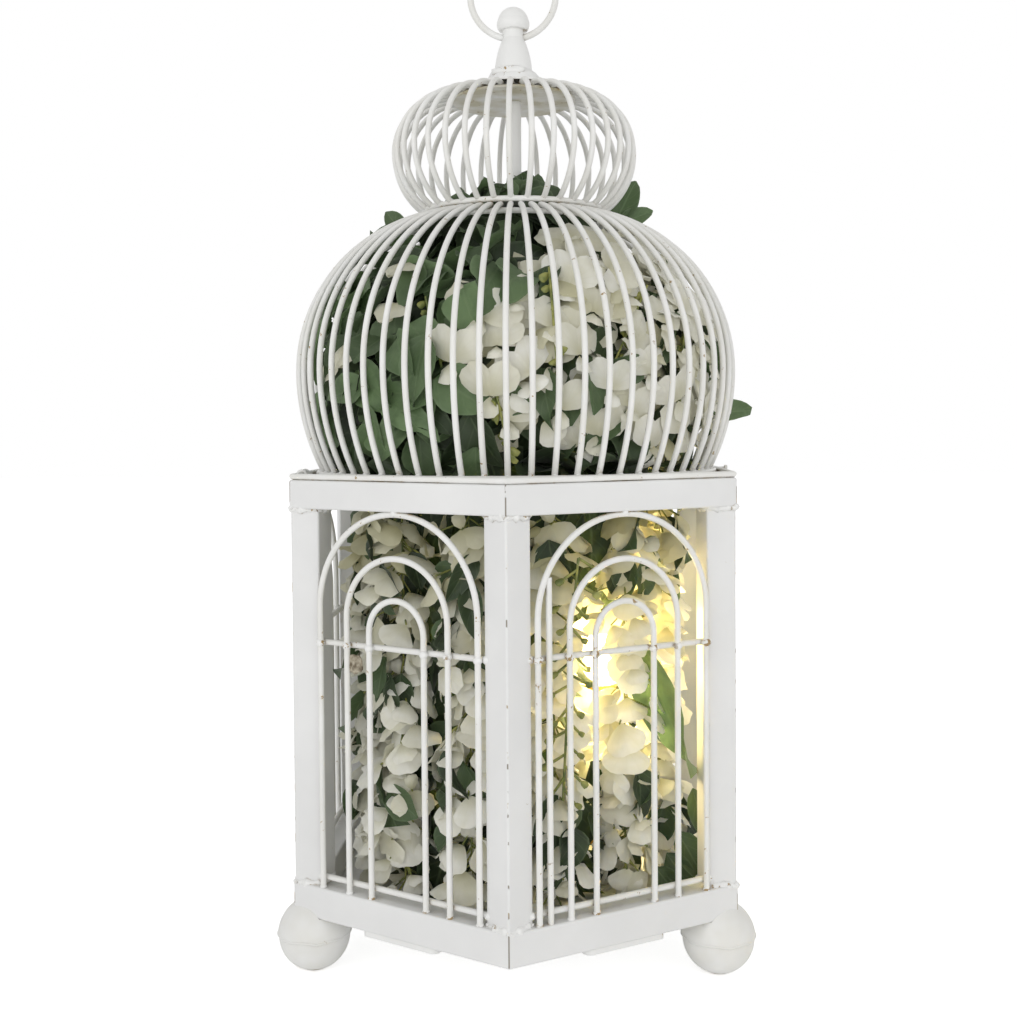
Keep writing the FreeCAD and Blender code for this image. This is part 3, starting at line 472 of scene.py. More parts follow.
# %% Place the beads on the cage
CORNER_RADIUS = -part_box("top_rail_front_left")[0][1] / MM
APOTHEM = CORNER_RADIUS * math.cos(math.pi / 6)
post_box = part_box("post_front")
POST_RADIUS = -(post_box[0][1] + post_box[1][1]) / 2 / MM
POST_HALF = (post_box[1][1] - post_box[0][1]) / MM / 2 / math.sqrt(2)
RAIL_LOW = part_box("bottom_rail_front_left")[1][2] / MM
RAIL_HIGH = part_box("top_rail_front_left")[0][2] / MM
ARCH_WIDTHS = (95.0, 61.0, 33.0)
ARCH_RADIUS = APOTHEM - 2.5
BAR_LEVEL, SILL_LEVEL = RAIL_LOW + 124.0, RAIL_LOW + 4.5
BAR_END, BAR_RADIUS = 50.6, 107.1
PLAIN = 0.5
cage_beads, rusty_beads = [], []
for i in range(6):
    for level in (RAIL_LOW, RAIL_HIGH):
        for k, flank in enumerate((45, 135, 225, 315)):
            along = spot(0, -POST_RADIUS, level) @ turn(flank) @ spot(between(-0.6, 0.6), -POST_HALF, 0)
            cage_beads.append((seam_beads[(i + k) % 3], turn(60 * i) @ along @ tumble(0.05), PLAIN))
    side = turn(60 * i + 30)
    for level in (BAR_LEVEL, SILL_LEVEL):
        for end in (-1, 1):
            bar_end = side @ spot(end * BAR_END, -BAR_RADIUS, level)
            cage_beads.append((blob_bead, bar_end @ tumble(0.8), PLAIN))
    for width in ARCH_WIDTHS:
        for end in (-1, 1):
            for level in (RAIL_LOW + 0.3, BAR_LEVEL):
                leg = side @ spot(end * width / 2, -ARCH_RADIUS, level)
                model = blob_bead if level == BAR_LEVEL else wire_bead
                rusty_beads.append((model, leg @ tumble(0.3), PLAIN))
    cage_beads.append((blob_bead, side @ spot(0, -ARCH_RADIUS, RAIL_HIGH - 0.4) @ tumble(0.3), PLAIN))
cage_welds = bunch("cage_welds", cage_beads, bead_enamel)
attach(cage_welds, "base")
bar_welds = bunch("bar_welds", rusty_beads, rusty_enamel)
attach(bar_welds, "base")
patch_place = turn(330) @ spot(-26.6, -APOTHEM + 3.4, RAIL_LOW + 115.0)
bare_weld = bunch("bare_weld", [(rust_patch, patch_place, PLAIN)], bare_rust)
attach(bare_weld, "base")
print("beads on the cage:", len(cage_beads), "rusty", len(rusty_beads))

# %% [markdown]
# Each ball foot is pressed from two half shells, and a thin, uneven ridge of weld runs round it where they
# meet. It is a thin ring whose vertices are moved by noise: a slow wave up and down, and a fine roughness.

# %% Seams of the feet
def foot_seam(lower_half):
    low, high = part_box(lower_half)
    half_width = (high[0] - low[0]) / 2
    bpy.ops.mesh.primitive_torus_add(major_segments=72, minor_segments=6, minor_radius=0.8 * MM,
                                     major_radius=half_width + 0.1 * MM)
    ring = bpy.context.active_object
    middle = Vector(((low[0] + high[0]) / 2, (low[1] + high[1]) / 2, high[2]))
    for vertex in ring.data.vertices:
        slow = noise.noise(vertex.co * (0.12 / MM) + middle)
        fine = noise.noise(vertex.co * (0.6 / MM) + middle)
        vertex.co += middle + vertex.normal * 0.25 * MM * fine + rise(0.7 * MM * slow)
    bpy.ops.object.shade_smooth()
    return ring


seams = [foot_seam(name) for name in nodes if name.startswith("foot_lower")]
foot_seams = join(seams)
foot_seams.name = "foot_seams"
foot_seams.data.materials.append(ball_enamel)
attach(foot_seams, "base")
print("foot seams:", len(seams), "faces", len(foot_seams.data.polygons))

# %% Place the beads on the lid
DOME_WIRES, CROWN_WIRES = 60, 36
WIRE_RADIUS = 1.5
DOME_FOOT = 106.4
rim_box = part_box("lid_rim")
RIM_LEVEL = (rim_box[0][2] + rim_box[1][2]) / 2 / MM
crown_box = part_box("crown_base_ring")
CROWN_RING = (crown_box[1][0] - crown_box[0][0]) / 2 / MM - WIRE_RADIUS
CROWN_LEVEL = (crown_box[0][2] + crown_box[1][2]) / 2 / MM
lid_beads = []
for i in range(DOME_WIRES):
    wire_foot = turn(360 / DOME_WIRES * i) @ spot(DOME_FOOT, 0, RIM_LEVEL + 1.0)
    lid_beads.append((wire_bead, wire_foot @ tumble(0.6), PLAIN))
for i in range(CROWN_WIRES):
    wire_foot = turn(360 / CROWN_WIRES * i) @ spot(CROWN_RING, 0, CROWN_LEVEL + 1.2)
    lid_beads.append((wire_bead, wire_foot @ tumble(0.6), PLAIN))
finial_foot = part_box("finial")[0][2] / MM
lid_beads.append((finial_weld, spot(0.4, 0, finial_foot + 0.6), PLAIN))
lid_beads.append((finial_fold, spot(-2.5, -9.4, finial_foot + 6.0) @ turn(-8), PLAIN))
lid_welds = bunch("lid_welds", lid_beads, bead_enamel)
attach(lid_welds, "lid")
put_away(*BEADS)
print("beads on the lid:", len(lid_beads), "rim", round(RIM_LEVEL, 1), "crown ring", round(CROWN_LEVEL, 1))

# %% [markdown]
# ## A petal and the florets
# A petal is a disc that is inset once and poked, so that it has a rim, a ring and a middle. Vertex moves
# then narrow it towards its foot, notch and ruffle its lip, and bulge it like a shell. From it come five
# models: a single shell, a wider one, a shell with a smaller one under it, an open floret whose upper petal
# is two round lobes side by side over a small keel, and a bud.

# %% Model the petals
def petal(points, length, width, bulge, lip):
    bpy.ops.mesh.primitive_circle_add(vertices=points, radius=0.5, fill_type="NGON", calc_uvs=True)
    disc = bpy.context.active_object
    bpy.ops.object.mode_set(mode="EDIT")
    bpy.ops.mesh.select_all(action="SELECT")
    bpy.ops.mesh.inset(thickness=0.19)
    bpy.ops.mesh.poke()
    bpy.ops.object.mode_set(mode="OBJECT")
    for vertex in disc.data.vertices:
        x, y = vertex.co.x, vertex.co.y
        reach = y + 0.5
        narrow = 0.5 + 0.5 * min(1.0, reach * 2.3)
        notch = 1 - 0.08 * max(0.0, 1 - 3.5 * abs(x)) * max(0.0, reach - 0.6) / 0.4
        shell = -bulge * (4 * x * x + 1.8 * (y - 0.05) ** 2)
        rolled = lip * max(0.0, reach - 0.55) ** 2 * 4
        ruffle = 3.2 * (x * x + y * y) * reach * math.sin(5 * math.atan2(x, y) + length)
        wave = 0.7 * noise.noise(Vector((x * 4, y * 4, length + width)))
        vertex.co = Vector((x * width * narrow, reach * length * notch, shell + rolled + ruffle + wave)) * MM
    bpy.ops.object.shade_smooth()
    return disc


def posed(obj, *turns):
    place = Matrix.Identity(4)
    for axis, degrees in turns:
        place = Matrix.Rotation(math.radians(degrees), 4, axis) @ place
    obj.matrix_world = place
    select(obj)
    bpy.ops.object.transform_apply()
    return obj


shell = petal(18, 16.0, 20.0, 2.6, 0.8)
wide_shell = petal(18, 14.0, 22.0, 3.4, -1.0)
pair = join([posed(petal(18, 16.5, 18.5, 2.8, 0.5)),
             posed(petal(14, 12.5, 13.5, 2.2, 0.3), ("X", 38), ("Z", 12))])
open_floret = join([posed(petal(16, 18.5, 15.5, 1.6, -1.2), ("Y", -10), ("Z", 40)),
                    posed(petal(16, 18.5, 15.5, 1.6, -1.2), ("Y", 10), ("Z", -40)),
                    posed(petal(10, 11.0, 9.5, 2.4, 0.2), ("X", 24), ("Z", 180))])
bud = join([posed(petal(10, 10.0, 7.0, 2.2, 0.1), ("X", 12)),
            posed(petal(10, 9.0, 6.0, 2.2, 0.1), ("X", -24))])
FLOWERS = (shell, wide_shell, pair, open_floret, bud)
print("faces of the petal models:", [len(model.data.polygons) for model in FLOWERS])

# %% [markdown]
# ## The leaves
# A leaf is a grid drawn to a blunt oval by moving its vertices, folded along its rib, arched, twisted and
# waved at the edge. Its foot and tip rows are merged to points. Four leaves differ in how they bend: flat,
# bent, twisted and pointed.

# %% Model the leaves
def leaf(blunt, fold, arch, twist):
    bpy.ops.mesh.primitive_grid_add(x_subdivisions=4, y_subdivisions=8, size=1.0, calc_uvs=True)
    blade = bpy.context.active_object
    for vertex in blade.data.vertices:
        x, y = vertex.co.x, vertex.co.y + 0.5
        half = math.sin(math.pi * min(0.995, max(0.005, y ** 0.8))) ** blunt
        lift = abs(x) * half * fold - arch * y * y + twist * x * y
        lift += 0.09 * abs(x) * math.sin(y * 9 + fold * 20 + (2 if x > 0 else 0))
        vertex.co = Vector((x * half, y, lift))
    bpy.ops.object.mode_set(mode="EDIT")
    bpy.ops.mesh.select_all(action="SELECT")
    bpy.ops.mesh.remove_doubles(threshold=0.03)
    bpy.ops.object.mode_set(mode="OBJECT")
    bpy.ops.object.shade_smooth()
    return blade


LEAVES = (leaf(0.6, 0.28, 0.1, 0.1), leaf(0.6, 0.4, 0.34, -0.15), leaf(0.55, 0.16, 0.2, 0.5),
          leaf(0.85, 0.3, 0.16, -0.3))
POINTED = 3
print("leaf faces:", [len(blade.data.polygons) for blade in LEAVES])

# %% Aim a copy
def facing(at, outward, up, roll, scale):
    """Places a model with its Z along outward and its Y near up, turned by roll about outward."""
    z = Vector(outward).normalized()
    x = Vector(up).cross(z).normalized()
    y = z.cross(x)
    basis = Matrix((x, y, z)).transposed().to_4x4()
    scales = scale if isinstance(scale, tuple) else (scale,) * 3
    return Matrix.Translation(at) @ basis @ Matrix.Rotation(roll, 4, "Z") @ Matrix.Diagonal((*scales, 1.0))


def a_leaf(at, outward, up, roll, length, width, tone):
    scale = (width * MM, length * MM, length * MM)
    return (LEAVES[dice.randrange(4)], facing(at, outward, up, roll, scale), tone)


def laid_leaf(foot, tip, normal, width, tone, kind=0):
    start = Vector(foot) * MM
    along = Vector(tip) * MM - start
    return (LEAVES[kind], facing(start, normal, along, 0, (width * MM, along.length, along.length)), tone)


print("a leaf facing the camera:", a_leaf((0, 0, 0), (0, -1, 0), UP, 0, 30, 20, 0.5)[1].translation)

# %% [markdown]
# ## Hanging wisteria in the cage
# Two racemes hang behind each side. A raceme is a stem with petals hung round it like loose shingles: each
# petal has its foot near the stem and its lip out and down, and its face is tipped up to the light by its
# own amount. Behind them hangs a curtain of leaves toned nearly black, a painted shade that makes the gaps
# between petals dark. Racemes and curtain keep clear of the line from the bulb out through the front right
# side, where the glow is seen.

# %% Where the racemes hang
RACEME_RING = 80.0
RACEME_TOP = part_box("wisteria_left")[1][2] / MM
RACEME_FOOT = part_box("floor_pan")[1][2] / MM + 13.0
BULB = [(a + b) / 2 for a, b in zip(*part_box("lamp_globe"))]
GLOW_LINE = Vector((-0.025, -0.983, 0.18)).normalized()
BEHIND_BULB = 999.0


def off_glow(point):
    """Distance in millimetres from the line along which the bulb is seen."""
    gap = Vector(point) - Vector(BULB)
    if gap.dot(GLOW_LINE) < 0:
        return BEHIND_BULB
    return (gap - GLOW_LINE * gap.dot(GLOW_LINE)).length / MM


print("bulb at", BULB, "racemes from", RACEME_FOOT, "to", RACEME_TOP)

# %% Grow a raceme
ROW_STEP, ROW_PETALS, ROW_SPIN = 11.0, 5, 0.9
RACEME_LEAVES = 15
PETAL_CLEAR, LEAF_CLEAR, CURTAIN_CLEAR = 14, 52, 46
MODELS = (shell, shell, wide_shell, pair, pair, open_floret, open_floret)


def raceme(angle, radius, petals, leaves, stems):
    base = turn(angle) @ spot(0, -RACEME_RING, 0)
    level = RACEME_FOOT
    spin = between(0, 6.28)
    while level < RACEME_TOP:
        share = (level - RACEME_FOOT) / (RACEME_TOP - RACEME_FOOT)
        reach = radius * (0.74 + 0.26 * min(1.0, share * 1.5))
        for k in range(ROW_PETALS):
            around = spin + k * math.tau / ROW_PETALS + between(-0.35, 0.35)
            ray = Vector((math.cos(around), math.sin(around), 0))
            depth = reach * (between(0.5, 0.85) if k % 2 else between(0.15, 0.6))
            at = (ray * depth + rise(level + between(-5, 5))) * MM
            lift = between(-0.1, 1.05)
            outward = ray * math.cos(lift) + rise(math.sin(lift))
            size = between(0.85, 1.15)
            model = dice.choice(MODELS)
            if model is open_floret:
                size *= 0.85
            if share < 0.08:
                size *= 0.75
            # painted shade: petals in the upper part of a raceme, under the top rail and the lid, get a
            # darker tone
            tone_with_painted_shade = 1.0 - 1.4 * max(0.0, share - 0.62) + between(-0.35, 0.1)
            place = base @ facing(at, outward, DOWN, dice.gauss(0, 0.45), size)
            if off_glow(place.translation) > PETAL_CLEAR:
                petals.append((model, place, min(1.0, max(0.05, tone_with_painted_shade))))
                stems.append((base @ rise(at.z + 6 * MM), place.translation))
        spin += ROW_SPIN
        level += ROW_STEP
    stems.append((base @ rise(RACEME_FOOT * MM), base @ rise(RACEME_TOP * MM)))
    for k in range(RACEME_LEAVES):
        around = between(-2.8, -0.3)
        ray = Vector((math.cos(around), math.sin(around), between(-0.3, 0.5)))
        off_stem = ray * radius * between(0.3, 0.7)
        at = (off_stem + rise(between(RACEME_FOOT + 25, RACEME_TOP))) * MM
        blade = a_leaf(at, ray, (between(-1, 1), 0, -1), between(-0.8, 0.8), between(18, 30),
                       between(11, 17), between(0.05, 0.5))
        blade = (blade[0], base @ blade[1], blade[2])
        if off_glow(blade[1].translation) > LEAF_CLEAR:
            leaves.append(blade)


print("rows of petals in a raceme:", math.ceil((RACEME_TOP - RACEME_FOOT) / ROW_STEP))

# %% Hang the dark curtain
CURTAIN_RING = 65
CURTAIN_ROWS, CURTAIN_LEAVES = 10, 7
LEAF_TURN = 9


def curtain(angle, leaves):
    for row in range(CURTAIN_ROWS):
        for k in range(CURTAIN_LEAVES):
            height = RACEME_FOOT + 22 + (RACEME_TOP - RACEME_FOOT - 8) * row / 9.5 + between(-5, 5)
            swing = angle + LEAF_TURN * (k - CURTAIN_LEAVES // 2) + between(-3, 3)
            ray = ray_at(math.radians(swing), between(-0.35, 0.35))
            at = Vector((ray.x * CURTAIN_RING * MM, ray.y * CURTAIN_RING * MM, height * MM))
            # painted shade: curtain leaves get a near-black tone so that the gaps between petals read dark
            blade = a_leaf(at, ray, (between(-0.6, 0.6), 0, -1), between(-0.5, 0.5),
                           between(26, 36), between(18, 24), between(0.02, 0.3))
            if off_glow(at) > CURTAIN_CLEAR:
                leaves.append(blade)


print("leaves in a whole curtain:", CURTAIN_ROWS * CURTAIN_LEAVES)

# %% [markdown]
# Real petals bend where they meet the bars. Here each vertex that would stand past the bars is moved back
# behind them, and none goes below the floor pan or above the rails.

# %% Tuck a bunch into the cage
BAR_LIMIT = 103.5
PAN_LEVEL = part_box("floor_pan")[1][2] / MM


def tuck_into_cage(piece):
    moved = 0
    for vertex in piece.data.vertices:
        co = vertex.co / MM
        for i in range(6):
            out = ray_at(math.radians(60 * i + 30))
            past = co.dot(out) - BAR_LIMIT
            if past > 0:
                co -= out * past * 0.98
                moved += 1
        co.z = min(RIM_LEVEL - 5, max(PAN_LEVEL + 1, co.z))
        vertex.co = co * MM
    return moved


print("bars are at", BAR_LIMIT, "and the pan at", round(PAN_LEVEL, 1))

# %% Make stems
SIDE_STEM, BUD_STEM = 0.5, 0.7


def tubes(name, lines, radius):
    curve = bpy.data.curves.new(name, "CURVE")
    curve.dimensions = "3D"
    curve.bevel_depth = radius * MM
    curve.bevel_resolution = 0
    curve.use_fill_caps = True
    for line in lines:
        spline = curve.splines.new("POLY")
        spline.points.add(len(line) - 1)
        for point, co in zip(spline.points, line):
            point.co = (*co, 1.0)
    select(linked(name, curve))
    bpy.ops.object.convert(target="MESH")
    bpy.ops.object.shade_smooth()
    stalks = bpy.context.active_object
    stalks.data.materials.append(stem_stuff)
    return stalks


print("stems are", 2 * SIDE_STEM, "and", 2 * BUD_STEM, "mm thick")

# %% [markdown]
# In front of the lamp's stand hang a few petals more, and one long, pale leaf to its right.

# %% Hang two racemes behind each side
SMALLER = 0.9
LAMP_PETALS = 24
for i, side in enumerate(SIDES):
    petals, leaves, stems = [], [], []
    angle = 60 * i + 30
    radius = 12.5 if side in ("right", "left") else 20.5
    for offset in (-15, 15):
        raceme(angle + offset, radius, petals, leaves, stems)
    if side != "right":
        curtain(angle, leaves)
    if side == "front_right":
        leaves.append(laid_leaf((62, -50, 170), (93, -50, 99), (-0.3, -1, 0.1), 25, 0.95, POINTED))
        for k in range(LAMP_PETALS):
            at = Vector((44 + between(-13, 13), -20 + between(-7, 4), 56 + 3.6 * k)) * MM
            lean = (between(-0.5, 0.5), -1, between(0.0, 0.9))
            model = dice.choice((shell, wide_shell, pair))
            petals.append((model, facing(at, lean, DOWN, dice.gauss(0, 0.5), SMALLER), 0.85))
    blossom = bunch("wisteria_blossom_" + side, petals, petal_cloth)
    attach(blossom, "base")
    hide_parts("wisteria_" + side)
    foliage = bunch("wisteria_leaves_" + side, leaves, leaf_cloth)
    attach(foliage, "base")
    stalks = tubes("wisteria_stems_" + side, stems, SIDE_STEM)
    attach(stalks, "base")
    tucked = tuck_into_cage(blossom) + tuck_into_cage(foliage) + tuck_into_cage(stalks)
    print(side, "petals", len(petals), "leaves", len(leaves), "vertices tucked in", tucked)

# %% [markdown]
# ## Foliage in the dome
# The dome is stuffed: round grey-green leaves press against the wires on the left, white florets on the
# right, and a tangle of leaves toned nearly black as painted shade fills what lies behind them. Each is set
# against the curve of the dome wires, which is the same pair of arcs as in the CAD model. The border between
# leaves and florets wanders: it is given as an angle from the front at a few levels.

# %% The dome's curve
BULGE_LEVEL = 306.3
BULGE_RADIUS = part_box("dome_wires")[1][0] / MM - WIRE_RADIUS
FOOT_RADIUS, FOOT_LEVEL = 105.6, 253.8
NECK_RADIUS, NECK_LEVEL = 49.5, 390.8


def arc_centre(radius, level):
    drop = level - BULGE_LEVEL
    return (BULGE_RADIUS ** 2 - radius ** 2 - drop ** 2) / (2 * (BULGE_RADIUS - radius))


LOW_CENTRE = arc_centre(FOOT_RADIUS, FOOT_LEVEL)
HIGH_CENTRE = arc_centre(NECK_RADIUS, NECK_LEVEL)


def on_dome(angle, level, depth):
    """Point at a depth behind the dome wires, with the dome's outward direction there."""
    centre = LOW_CENTRE if level < BULGE_LEVEL else HIGH_CENTRE
    bend = BULGE_RADIUS - centre
    climb = level - BULGE_LEVEL
    flat = math.sqrt(max(100.0, bend ** 2 - climb ** 2))
    scale = (bend - depth) / bend
    ray = ray_at(angle)
    outward = (ray * flat + rise(climb)).normalized()
    return (ray * (centre + flat * scale) + rise(BULGE_LEVEL + climb * scale)) * MM, outward


def dome_radius(level):
    centre = LOW_CENTRE if level < BULGE_LEVEL else HIGH_CENTRE
    return centre + math.sqrt(max(0.0, (BULGE_RADIUS - centre) ** 2 - (level - BULGE_LEVEL) ** 2))


MOUTH_LIMIT, WIRE_GAP = 97.0, 4.0


def tuck_into_dome(piece):
    moved = 0
    for vertex in piece.data.vertices:
        level = vertex.co.z / MM
        limit = MOUTH_LIMIT if level < FOOT_LEVEL + 3 else dome_radius(min(level, NECK_LEVEL)) - WIRE_GAP
        radius = math.hypot(vertex.co.x, vertex.co.y) / MM
        if radius > limit:
            vertex.co.x *= limit / radius
            vertex.co.y *= limit / radius
            moved += 1
        vertex.co.z = max(RIM_LEVEL * MM, vertex.co.z)
    return moved


BORDER = ((255, -4), (284, -5), (294, -15), (325, -14), (336, -9), (350, -4), (362, 8), (372, 14), (400, 18))


def border(level):
    for (low, first), (high, last) in zip(BORDER, BORDER[1:]):
        if level <= high:
            return math.radians(first + (last - first) * (level - low) / (high - low))
    return math.radians(BORDER[-1][1])


print("dome arcs centred", round(LOW_CENTRE, 1), round(HIGH_CENTRE, 1), "bulge", round(BULGE_RADIUS, 1))

# %% Leaves and florets against the wires
LEFT, BOTH, RIGHT = -1, 0, 1
FRONT_LEAVES, FLORETS, OUTER_FLORETS = 350, 400, 160
LEAF_TONES = (0.25, 0.5, 0.65, 0.75, 0.9, 1.0)
FLORET_MODELS = (open_floret, open_floret, open_floret, pair, shell, wide_shell)


def spread(count, low, high, side):
    """Angles and levels on one side of the border or on both, evenly spread by the golden ratio."""
    for i in range(count):
        angle = math.tau * ((i * GOLDEN_SHARE) % 1.0) - math.pi + between(-0.05, 0.05)
        level = low + (high - low) * (i + 0.5) / count + between(-3, 3)
        if side * (angle - border(level)) >= 0:
            yield angle, level


def dome_leaf(angle, level, depth, length, width, tone):
    at, outward = on_dome(angle, level, depth)
    return a_leaf(at, outward + sway(0.6, -0.35, 0.75), DOWN, dice.gauss(0, 1.1), length, width, tone)


leaf_side, blossom_side, back_leaves = [], [], []
for angle, level in spread(FRONT_LEAVES, 264, 390, LEFT):
    leaf_side.append(dome_leaf(angle, level, between(8, 26), between(22, 36), between(16, 25),
                               dice.choice(LEAF_TONES) + between(-0.08, 0.08)))
for angle, level in spread(FLORETS, 262, 386, RIGHT):
    at, outward = on_dome(angle, level, between(9, 24))
    size = between(0.8, 1.1)
    lean = outward + sway(0.45, -0.3, 0.6)
    model = dice.choice(FLORET_MODELS)
    up = UP if model is open_floret else DOWN
    place = facing(at, lean, up, dice.gauss(0, 0.5), size)
    blossom_side.append((model, place, min(1.0, max(0.0, dice.gauss(0.7, 0.22)))))
for angle, level in spread(OUTER_FLORETS, 262, 382, RIGHT):
    at, outward = on_dome(angle, level, between(6, 10))
    size = between(0.9, 1.1)
    place = facing(at, outward + sway(0.3, -0.2, 0.4), UP, dice.gauss(0, 0.5), size)
    blossom_side.append((open_floret, place, min(1.0, dice.gauss(0.86, 0.12))))
print("leaves against the wires:", len(leaf_side), "florets", len(blossom_side))

# %% The dark tangle behind them
BACK_LEAVES, NECK_LEAVES, FLOOR_LEAVES, MIXED_LEAVES = 460, 110, 150, 170
# painted shade: the leaves behind the front layer, round the neck and on the dome's floor get dark tones,
# near black behind the leaf half
for angle, level in spread(BACK_LEAVES, 264, 391, BOTH):
    tone = between(0.0, 0.12) if angle < border(level) else between(0.2, 0.5)
    back_leaves.append(dome_leaf(angle, level, between(26, 40), between(30, 42), between(20, 28), tone))
for k in range(NECK_LEAVES):
    ray = ray_at(k * GOLDEN_ANGLE)
    at = (ray * between(12, 44) + rise(between(370, 397))) * MM
    back_leaves.append(a_leaf(at, ray + rise(between(0.2, 1.2)), DOWN, dice.gauss(0, 1.2),
                              between(22, 32), between(16, 22), between(0.05, 0.4)))
for k in range(FLOOR_LEAVES):
    ray = ray_at(k * GOLDEN_ANGLE)
    at = (ray * 90 * math.sqrt((k + 0.5) / FLOOR_LEAVES) + rise(between(254, 260))) * MM
    back_leaves.append(a_leaf(at, (between(-0.4, 0.4), between(-0.4, 0.4), 1), ray, dice.gauss(0, 1.2),
                              between(30, 38), between(20, 26), between(0.0, 0.25)))
for angle, level in spread(MIXED_LEAVES, 268, 388, RIGHT):
    leaf_side.append(dome_leaf(angle, level, between(14, 26), between(20, 32), between(13, 19),
                               between(0.1, 0.6)))
print("dome leaves", len(leaf_side) + len(back_leaves), "florets", len(blossom_side))

# %% [markdown]
# A few single pieces are set where the picture shows them: two big leaves at the front left, petals
# lost among the leaves, a tuft round the rod above the neck, and leaf tips that slipped out between wires.

# %% Single leaves and petals
TUFT_LEAVES, TUFT_RADIUS = 100, 27
leaf_side.append(laid_leaf((-34, -103, 300), (-9, -111, 286), (-0.1, -1, 0.25), 25, 0.78))
leaf_side.append(laid_leaf((-32, -101, 294), (-64, -86, 294), (-0.5, -1, 0.3), 22, 0.85))
loose_tips = [laid_leaf((-58, -18, 378), (-77, -20, 383), (0.2, -1, 0.4), 13, 0.4, POINTED),
              laid_leaf((-59, -18, 380), (-68, -20, 394), (0.2, -1, 0.2), 11, 0.35),
              laid_leaf((56, 6, 390), (67, 6, 413), (-0.1, -1, 0.1), 16, 0.4),
              laid_leaf((58, 4, 388), (77, 5, 397), (0.1, -1, 0.2), 11, 0.5),
              laid_leaf((106, -13, 283), (128, -14, 287), (0, -1, 0.5), 12, 0.55, POINTED)]
for angle, level in ((-33, 342), (-36, 366), (-49, 320), (-58, 312)):
    at, outward = on_dome(math.radians(angle), level, 9)
    for model, roll in ((shell, 0.3), (wide_shell, -0.8)):
        place = facing(at, outward + rise(0.4), DOWN, roll, SMALLER)
        blossom_side.append((model, place, 0.6))
for k in range(TUFT_LEAVES):
    ray = ray_at(k * GOLDEN_ANGLE)
    out = TUFT_RADIUS * math.sqrt((k + 0.5) / TUFT_LEAVES)
    mound = CROWN_LEVEL + 6.5 - 0.004 * out * out + between(-4, 2)
    at = (ray * out + rise(mound)) * MM
    tilt = ray + rise(between(0.2, 1.0))
    leaf_side.append(a_leaf(at, tilt, (between(-0.7, 0.7), 0, 1), between(-0.7, 0.7), between(11, 17),
                            between(9, 14), between(0.2, 0.65)))
print("leaves with the single ones:", len(leaf_side))

# %% Stems with buds
STEM_ENDS = (((68, -72, 346), (43, -95, 289)), ((20, -100, 352), (24, -111, 300)),
             ((-6, -108, 296), (2, -107, 262)), ((88, -52, 330), (84, -66, 285)),
             ((-40, -88, 340), (-30, -100, 300)))
STEM_BUDS = 9
BUD_TONE = 0.4
bud_stems, buds = [], []
for first, last in STEM_ENDS:
    start, stop = Vector(first) * MM, Vector(last) * MM
    bud_stems.append((start, (start + stop) / 2 + Vector((0, -2 * MM, 0)), stop))
    for k in range(STEM_BUDS):
        at = start.lerp(stop, (k + 0.5) / STEM_BUDS)
        lean = Vector((between(-1, 1), -0.6, between(-0.2, 0.3)))
        size = between(0.45, 0.75)
        buds.append((bud, facing(at, lean, (dice.choice((-1, 1)), 0, -0.7), 0, size), BUD_TONE))
dome_stems = tubes("dome_stems", bud_stems, BUD_STEM)
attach(dome_stems, "lid")
dome_buds = bunch("dome_buds", buds, stem_stuff)
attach(dome_buds, "lid")
print("dome stems", len(bud_stems), "buds", len(buds))

# %% [markdown]
# The lamp lights only the right half of the cage. A screen of leaves hangs beside it, between the lamp and
# the space for the cards, and four leaves lie in the right corner.

# %% Leaves beside the lamp
SCREEN_LEAVES, ROW = 40, 8
CORNER_LEAVES = (((84, -46, 66), (98, -45, 40), 15, 0.4), ((78, -50, 56), (92, -46, 34), 14, 0.3),
                 ((92, -44, 88), (99, -42, 60), 13, 0.5), ((72, -54, 50), (84, -50, 33), 13, 0.35))
screen = []
for k in range(SCREEN_LEAVES):
    row, step = divmod(k, ROW)
    at = Vector((22 + between(-1, 4), -42 + 9.5 * step, 62 + 38 * row + between(-6, 6))) * MM
    lean = (-1, between(-0.4, 0.4), between(-0.3, 0.3))
    screen.append(a_leaf(at, lean, (0, between(-0.5, 0.5), -1), 0, 40, 24, between(0.05, 0.4)))
for foot, tip, width, tone in CORNER_LEAVES:
    screen.append(laid_leaf(foot, tip, (0.1, -1, 0.25), width, tone))
lamp_leaves = bunch("lamp_leaves", screen, leaf_cloth)
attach(lamp_leaves, "base")
print("leaves beside the lamp:", len(screen), "tucked", tuck_into_cage(lamp_leaves))

# %% [markdown]
# In front of the lamp one raceme has lost its petals. Its bare stem hangs against the bars, with short
# stalks to both sides that end in buds.

# %% A bare stem
BARE_POINTS = ((33, -97, 214), (29, -99, 175), (27, -99, 137), (25, -99, 98))
STEPS, STEP_STALKS = len(BARE_POINTS) - 1, 7
bare_line = [Vector(point) * MM for point in BARE_POINTS]
stalk_lines, stalk_buds = [bare_line], []
for k in range(STEPS * STEP_STALKS):
    step, rest = divmod(k, STEP_STALKS)
    at = bare_line[step].lerp(bare_line[step + 1], rest / STEP_STALKS)
    side = -1 if k % 2 else 1
    end = at + Vector((side * between(4, 8), between(-1, 2), between(-8, -3))) * MM
    stalk_lines.append([at, end])
    size = between(0.4, 0.6)
    stalk_buds.append((bud, facing(end, (0, -1, 0.3), (side, 0, -0.7), 0, size), BUD_TONE))
bare_stem = tubes("wisteria_bare_stem", stalk_lines, BUD_STEM)
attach(bare_stem, "base")
bare_buds = bunch("wisteria_bare_buds", stalk_buds, stem_stuff)
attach(bare_buds, "base")
print("stalks:", len(stalk_lines), "tucked", tuck_into_cage(bare_stem) + tuck_into_cage(bare_buds))

# %% [markdown]
# At the back of the dome the two halves meet in a straight line. A few leaves are pushed in among the
# florets there, and a few florets among the leaves.

